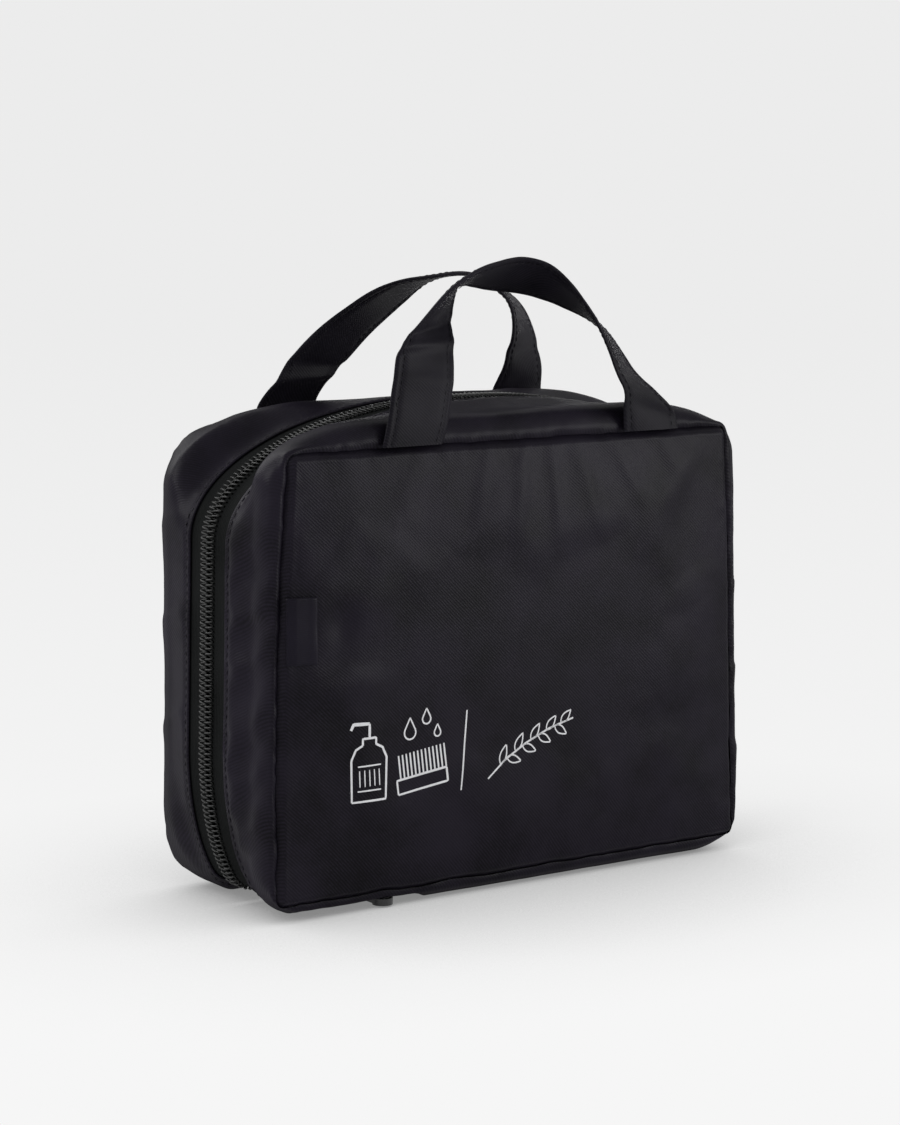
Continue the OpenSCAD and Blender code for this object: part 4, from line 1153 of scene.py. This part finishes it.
def elastic():
    low, high = box_mm("elastic_loops")
    half_w, deep = (LOOP_STEP - 3) / 2, high[1] - low[1]
    line = [(low[0], 0.5)]
    for i in range(LOOPS):
        c = (i + 0.5 - LOOPS / 2) * LOOP_STEP
        line += [(c - half_w - 1.2, 0.5)]
        line += [(c - (half_w - 0.5) * math.cos(b), 0.5 + (deep - 1.0) * math.sin(b) ** 0.7)
                 for b in np.radians(np.linspace(6, 174, 22))]
        line += [(c + half_w + 1.2, 0.5)]
    line.append((high[0], 0.5))
    line = spread(np.array(line), np.linspace(0, 1, 420))
    rows = []
    for k in np.linspace(0, 1, 18):
        z = low[2] + k * (high[2] - low[2])
        curl = 0.25 * math.cos(2 * math.pi * k)
        rows.append(np.c_[line[:, 0], high[1] - line[:, 1] - curl * 0.3, np.full(len(line), z)])
    obj = piece("elastic_band", np.vstack(rows), grid_faces(len(rows), len(line)), elastic_rib,
                "rear_half", "elastic", "elastic_loops")
    return thicken(obj, 0.85)


print(elastic().name)

# %% Webbing for the hook
def webbing_loop():
    low, high = box_mm("hook_tab")
    y, z_bar = (low[1] + high[1]) / 2, low[2] + 3.25
    r = 2.65
    left = [(y - 0.62, high[2]), (y - 0.62, z_bar + 8), (y - r + 0.3, z_bar + 3.2)]
    round_bar = [(y - r * math.cos(b), z_bar - r * math.sin(b))
                 for b in np.radians(np.linspace(-30, 210, 25))]
    right = [(y + r - 0.3, z_bar + 3.2), (y + 0.62, z_bar + 8), (y + 0.62, high[2])]
    line = spread(np.array(left + round_bar + right), np.linspace(0, 1, 90))
    rows = [np.c_[np.full(len(line), x), line] for x in np.linspace(low[0], high[0], 24)]
    obj = piece("hook_webbing_loop", np.vstack(rows), grid_faces(len(rows), len(line)), webbing,
                "rear_half", "binding", "hook_tab")
    return thicken(obj, 1.05)


print(webbing_loop().name)

# %% [markdown]
# ## Stitches
# A lockstitch shows as a row of short dashes that dip into the cloth at both ends. Real
# ones are 2.5 to 3 mm long. Each is a small bent rod laid on the finished cloth, because
# a painted dash has no shadow. A row is placed by looking for the nearest cloth.

# %% Stitch rows
def tree_of(obj):
    return BVHTree.FromObject(obj, bpy.context.evaluated_depsgraph_get())


def on_cloth(tree, points_mm):
    """The nearest cloth to each point, and the way out of it."""
    places, ups = [], []
    for p in points_mm:
        place, normal, _, _ = tree.find_nearest(Vector(p) * MM)
        away = Vector(p) * MM - place
        if normal.dot(away) < 0:
            normal = -normal
        places.append(place / MM)
        ups.append(normal)
    return np.array(places), np.array(ups)


DIP = np.array([-0.2, 0.02, 0.08, 0.02, -0.2])      # height of a stitch over the cloth, in mm


def stitch_row(line, ups, length=2.5, pitch=3.3, radius=0.2):
    """Dashes along a line of points on cloth."""
    steps = np.r_[0, np.cumsum(np.linalg.norm(np.diff(line, axis=0), axis=1))]
    parts = []
    for start in np.arange(0.6, steps[-1] - length, pitch):
        at = start + np.linspace(0, length, len(DIP))
        p = np.stack([np.interp(at, steps, line[:, k]) for k in range(3)], 1)
        u = np.stack([np.interp(at, steps, ups[:, k]) for k in range(3)], 1)
        parts.append(wire(p + u * DIP[:, None], radius, 4))
    return parts


def sew(name, rows, body, slot="outer_cloth"):
    points, faces = join([part for row in rows for part in row])
    return piece(name, points, faces, thread, body, slot)


for side in SIDE:
    tree = tree_of(bpy.data.objects[f"{side}_gusset_cloth"])
    w = 1 + (y_shoulder - stitch_y) / (y_shoulder - tape_show)
    ring = gusset_ring(side, float(w), -1.5)
    ring = ring[open_part(ring[:, [0, 2]], fold_half)]
    print(sew(f"{side}_tape_stitches", [stitch_row(*on_cloth(tree, ring))], f"{side}_half").name)
    tree = tree_of(bpy.data.objects[f"{side}_handle_strap"])
    p, w_way, n = strap_frame(side)
    rows = []
    for u in (-STITCHED, STITCHED):
        for face in (-1, 1):
            near = p + w_way * (u * STRAP_W / 2) + n * (face * 3.0)
            rows.append(stitch_row(*on_cloth(tree, near), 2.3, 3.0, 0.15))
    print(sew(f"{side}_handle_stitches", rows, f"{side}_handle").name)
    tree = tree_of(bpy.data.objects[f"{side}_binding_ribbon"])
    ring = push_in(whole(spread(seam_line(side, inner_edge), shares)), 5.6)
    ring = np.c_[ring[:, 0], np.full(len(ring), SIDE[side] * (y_inside - 4)), ring[:, 1]]
    row = stitch_row(*on_cloth(tree, ring))
    print(sew(f"{side}_binding_stitches", [row], f"{side}_half", "binding").name)

tree = tree_of(bpy.data.objects["elastic_band"])
low, high = box_mm("elastic_loops")
rows = []
for i in range(LOOPS + 1):
    x = (i - LOOPS / 2) * LOOP_STEP
    x = min(max(x, low[0] + 1.2), high[0] - 1.2)
    z = np.linspace(low[2] + 1, high[2] - 1, 12)
    rows.append(stitch_row(*on_cloth(tree, np.c_[np.full(12, x), np.full(12, high[1] - 3), z]), 2.2, 2.8))
print(sew("elastic_stitches", rows, "rear_half", "elastic").name)

# %% [markdown]
# ## The print
# The photographed bag carries white lettering and drawings, which this part leaves off.
# In their place stands a plain line design of the same colour and size: a bottle with a
# pump, a brush under three drops, a thin rule and a sprig. Each stroke is a strip of ink
# laid on the finished cloth.

# %% White line design
panel_tree = tree_of(bpy.data.objects["front_panel_cloth"])
RULE = [(-28.4, 41), (-25.9, 72)]
# The rule's middle goes where the ray through its middle in the photograph meets the cloth
rule_place, _ = land(panel_tree, *POINTS["print_rule"])
print_shift = np.array([rule_place.x, rule_place.z]) / MM - np.mean(RULE, axis=0)
print("print moved by, mm:", print_shift.round(2))


INK_T = 0.09


def ink(path, width):
    """A strip of ink along a path of (x, z), tapering a little at its ends."""
    path = np.array(path, float) + print_shift
    steps = np.r_[0, np.cumsum(np.linalg.norm(np.diff(path, axis=0), axis=1))]
    count = max(3, int(steps[-1] / 0.7))
    path = spread(path, np.linspace(0, 1, count))
    way = np.gradient(path, axis=0)
    way /= np.maximum(np.linalg.norm(way, axis=1), 1e-9)[:, None]
    side = np.c_[-way[:, 1], way[:, 0]]
    size = width / 2 * (0.75 + 0.25 * np.sin(np.linspace(0.1, 3.04, count)) ** 0.5)
    out = []
    for s in (-1, 0, 1):
        for x, z in path + side * (s * size)[:, None]:
            place = panel_tree.ray_cast(Vector((x, -90, z)) * MM, Vector((0, 1, 0)))[0]
            out.append((x, place.y / MM - INK_T, z))
    return np.array(out), grid_faces(3, count)


def drop(cx, cz, r):
    """A round drop with a point on top."""
    a = np.radians(np.linspace(150, 390, 18))
    tip = [(cx, cz + 2.2 * r)]
    return np.vstack([tip, np.c_[cx + r * np.cos(a), cz + r * np.sin(a)], tip])


def leaf(x, z, degrees, size):
    """A slim leaf from its stalk and back."""
    a = math.radians(degrees)
    t = np.linspace(0, 1, 14)
    middle = np.array([x, z]) + np.outer(size * t, [math.cos(a), math.sin(a)])
    half = np.outer(1.5 * np.sin(np.pi * t ** 0.8), [-math.sin(a), math.cos(a)])
    return np.vstack([middle + half, (middle - half)[::-1]])


# Each stroke: its path, and its width
BOTTLE = [([(-78, 42), (-78.4, 58), (-76.5, 62), (-73.5, 63.5), (-73.5, 66), (-67.5, 66),
            (-67.5, 63.5), (-64.5, 62), (-62.6, 58), (-63, 42), (-78, 42)], 0.9),
          ([(-70.5, 66), (-70.5, 71.5)], 1.1), ([(-70.5, 71.5), (-77.5, 71.8), (-78.6, 69.6)], 1.3),
          ([(-75.6, 46), (-65.2, 46)], 0.6), ([(-75.6, 55.5), (-65.2, 55.5)], 0.6)]
BOTTLE += [([(-74.6 + k * 2.2, 47.6), (-74.9 + k * 2.2, 53.9)], 0.5) for k in range(5)]
BRUSH = [([(-57, 42.5), (-34.5, 45.5), (-35.3, 51), (-57.8, 48), (-57, 42.5)], 0.9)]
BRUSH += [([(-56 + k * 1.72, 48.4 + k * 0.23), (-57.2 + k * 1.72, 57.6 + k * 0.23)], 0.75)
          for k in range(13)]
DROPS = [(drop(x, z, r), 0.65) for x, z, r in ((-52, 66, 2.6), (-44.5, 70.5, 1.9), (-39.5, 64.8, 1.5))]
SPRIG = [([(-16, 44), (-8, 50.5), (2, 56), (13, 60.5), (25, 63.5)], 0.8)]
SPRIG += [(leaf(x, z, turn, 8.0 - 0.35 * k), 0.6) for k, (x, z, turn) in
          enumerate(((-10, 49, 70), (-3, 53.4, 62), (4.5, 57, 56), (12, 60, 50), (19, 62.2, 44)))]
SPRIG += [(leaf(x, z, turn, 7.0), 0.6) for x, z, turn in
          ((-7, 51.4, -18), (0.5, 55.2, -24), (8, 58.6, -30), (16, 61.3, -34))]
strokes = [ink(*line) for line in BOTTLE + BRUSH + DROPS]
rule = ink(RULE, 0.7)
strokes += [rule] + [ink(*line) for line in SPRIG]
points, faces = join(strokes)
printed = piece("front_print", points, faces, print_ink, "front_half", "label")
print(printed.name, len(strokes), "strokes")

# %% [markdown]
# ## Rigid parts
# Slider, pull, stops, link and hook keep their CAD shapes. They only need the finish of
# the real thing.

# %% Finishes on the CAD parts
FINISH = {"slider_body": lacquer, "zip_pull": lacquer, "front_zip_stops": lacquer, "rear_zip_stop": lacquer,
          "hook_link": acetal, "hook": acetal}
for node, material in FINISH.items():
    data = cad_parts[node].data
    data.materials.clear()
    data.materials.append(material)
print("finished:", ", ".join(FINISH))

# %% [markdown]
# ## Floor and light
# The photograph has a white ground, a faint shadow and soft light from the left. The floor
# is pale paper. It throws light back at the bag. What is seen of it is the even ground of
# the photograph, darkened where the bag stands close over it. The front half can swing
# below it, as it does when the bag hangs from its hook, and stays in view there.


# %% Floor, lamps and world
def seen_rays(tree, *more):
    """1 for rays from the camera and for what gloss and glass reflect, else 0."""
    path = add(tree, "ShaderNodeLightPath")
    out = path.outputs["Is Camera Ray"]
    for kind in ("Is Glossy Ray", "Is Transmission Ray", *more):
        out = add(tree, "ShaderNodeMath", {}, {0: out, 1: path.outputs[kind]}, operation="MAXIMUM").outputs[0]
    return out


def floor_paper():
    """Pale paper that takes the bag's shadow and shows the ground's colour."""
    material = bpy.data.materials.new("floor_paper")
    material.use_nodes = True
    tree = material.node_tree
    paper = tree.nodes["Principled BSDF"]
    paper.inputs["Base Color"].default_value = paint("#fafafa")
    paper.inputs["Roughness"].default_value = 0.9
    open_sky = add(tree, "ShaderNodeAmbientOcclusion", {"Distance": 0.16}, samples=8)
    shade = add(tree, "ShaderNodeMapRange",
                {"From Min": 0.1, "From Max": 0.92, "To Min": 0.25, "To Max": 1.0},
                {"Value": open_sky.outputs["AO"]})
    ground = add(tree, "ShaderNodeBsdfTransparent", {}, {"Color": shade.outputs[0]})
    mix = add(tree, "ShaderNodeMixShader", {}, {0: seen_rays(tree, "Is Shadow Ray"), 1: paper.outputs[0],
              2: ground.outputs[0]})
    tree.links.new(mix.outputs[0], tree.nodes["Material Output"].inputs["Surface"])
    return material


def backdrop():
    """A wide floor just under the bag, in metres."""
    u = np.linspace(-14, 14, 15)
    rows = [np.c_[u, np.full(15, v), np.full(15, -0.0004)] for v in np.linspace(-4, 24, 15)]
    data = bpy.data.meshes.new("floor")
    data.from_pydata(np.vstack(rows).tolist(), [], grid_faces(15, 15).tolist())
    data.materials.append(floor_paper())
    obj = bpy.data.objects.new("floor", data)
    bpy.context.collection.objects.link(obj)
    obj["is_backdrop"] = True
    return obj


print("floor:", backdrop().name)


def lamp(name, place, size, power):
    """A soft white lamp that faces the middle of the bag and is itself out of view."""
    light = bpy.data.lights.new(name, "AREA")
    light.size, light.energy = size, power
    obj = bpy.data.objects.new(name, light)
    bpy.context.collection.objects.link(obj)
    obj.location = place
    obj.rotation_euler = (Vector(place) - Vector((0, 0, 0.1))).to_track_quat("Z", "Y").to_euler()
    obj.visible_camera = False
    return obj


# Name, place in metres, size in metres, power in watts
lamp("window_left", (-1.55, 0.35, 1.05), 1.0, 23)
lamp("front_right", (1.4, -1.62, 0.42), 0.9, 24)
lamp("back_left", (-0.5, 1.8, 1.3), 1.4, 15)
lamp("back_right", (1.3, 1.4, 0.12), 1.0, 22)

world = bpy.data.worlds.new("room")
bpy.context.scene.world = world
world.use_nodes = True
tree = world.node_tree
room = tree.nodes["Background"]
room.inputs["Color"].default_value = paint("#e9e9ec")
way = add(tree, "ShaderNodeSeparateXYZ", {}, {0: add(tree, "ShaderNodeTexCoord").outputs["Generated"]})
rise = add(tree, "ShaderNodeMapRange", {"From Min": -0.27, "From Max": -0.06}, {"Value": way.outputs["Z"]})
ground = add(tree, "ShaderNodeValToRGB", {}, {"Fac": rise.outputs[0]})
ground.color_ramp.elements[0].color, ground.color_ramp.elements[1].color = paint("#f6f6f6"), paint("#ececec")
seen = add(tree, "ShaderNodeBackground", {"Strength": 1.0}, {"Color": ground.outputs["Color"]})
pick = add(tree, "ShaderNodeMixShader", {}, {0: seen_rays(tree), 1: room.outputs[0], 2: seen.outputs[0]})
tree.links.new(pick.outputs[0], tree.nodes["World Output"].inputs["Surface"])
room.inputs["Strength"].default_value = 0.5
bpy.context.scene.view_settings.view_transform = "Standard"

# %% [markdown]
# ## Sizes and image points
# Last, the script writes how large the dressed bag is, and works out at which pixel each
# named point of the dressed bag shows.

# %% Sizes
low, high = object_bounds()
print("visual box, mm:", [round(v / MM, 1) for v in (*low, *high)])

# %% Image points of the dressed bag
def vertices_mm(obj):
    held = obj.evaluated_get(bpy.context.evaluated_depsgraph_get())
    data = held.to_mesh()
    out = np.zeros(len(data.vertices) * 3)
    data.vertices.foreach_get("co", out)
    world_matrix = np.array(obj.matrix_world)
    held.to_mesh_clear()
    return out.reshape(-1, 3) @ world_matrix[:3, :3].T + world_matrix[:3, 3]


def pixels(places):
    """Pixels at which many places show."""
    inverse = np.array(camera.matrix_world.inverted())
    p = places @ inverse[:3, :3].T + inverse[:3, 3]
    scale = LONG * camera.data.lens / camera.data.sensor_width / -p[:, 2]
    return np.c_[W / 2 + p[:, 0] * scale, H / 2 - p[:, 1] * scale]


everything = pixels(np.vstack([vertices_mm(o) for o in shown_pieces() if o.type == "MESH"]))
front_top = pixels(vertices_mm(bpy.data.objects["front_handle_strap"]))
rear_top = pixels(vertices_mm(bpy.data.objects["rear_handle_strap"]))
satin_points = pixels(vertices_mm(bpy.data.objects["side_label_satin"]))
pull_points = vertices_mm(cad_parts["zip_pull"])


def corner(x_sign, top):
    drawn_in = SEAM_R["front"] * EDGE_IN
    z = z_top["front"] - drawn_in if top else z_lift + drawn_in
    x = (half_top if top else half_bottom)["front"] - drawn_in
    return shown(Vector((x_sign * x, -(y_seam + 0.6), z)) * MM)


measured = {
    "seam_top_left": corner(-1, True), "seam_top_right": corner(1, True),
    "seam_bottom_right": corner(1, False), "seam_bottom_left": corner(-1, False),
    "left_edge": (everything[:, 0].min(), None), "right_edge": (everything[:, 0].max(), None),
    "top_edge": (None, everything[:, 1].min()), "bottom_edge": (None, everything[:, 1].max()),
    "front_handle_top": tuple(front_top[front_top[:, 1].argmin()]),
    "rear_handle_top": tuple(rear_top[rear_top[:, 1].argmin()]),
    "label_middle": tuple((satin_points.min(0) + satin_points.max(0)) / 2),
    "pull_tip": tuple(pixels(pull_points[pull_points[:, 1] < pull_points[:, 1].min() + 0.004]).mean(0)),
    "print_rule": shown(Vector(rule[0].mean(0)) * MM),
}
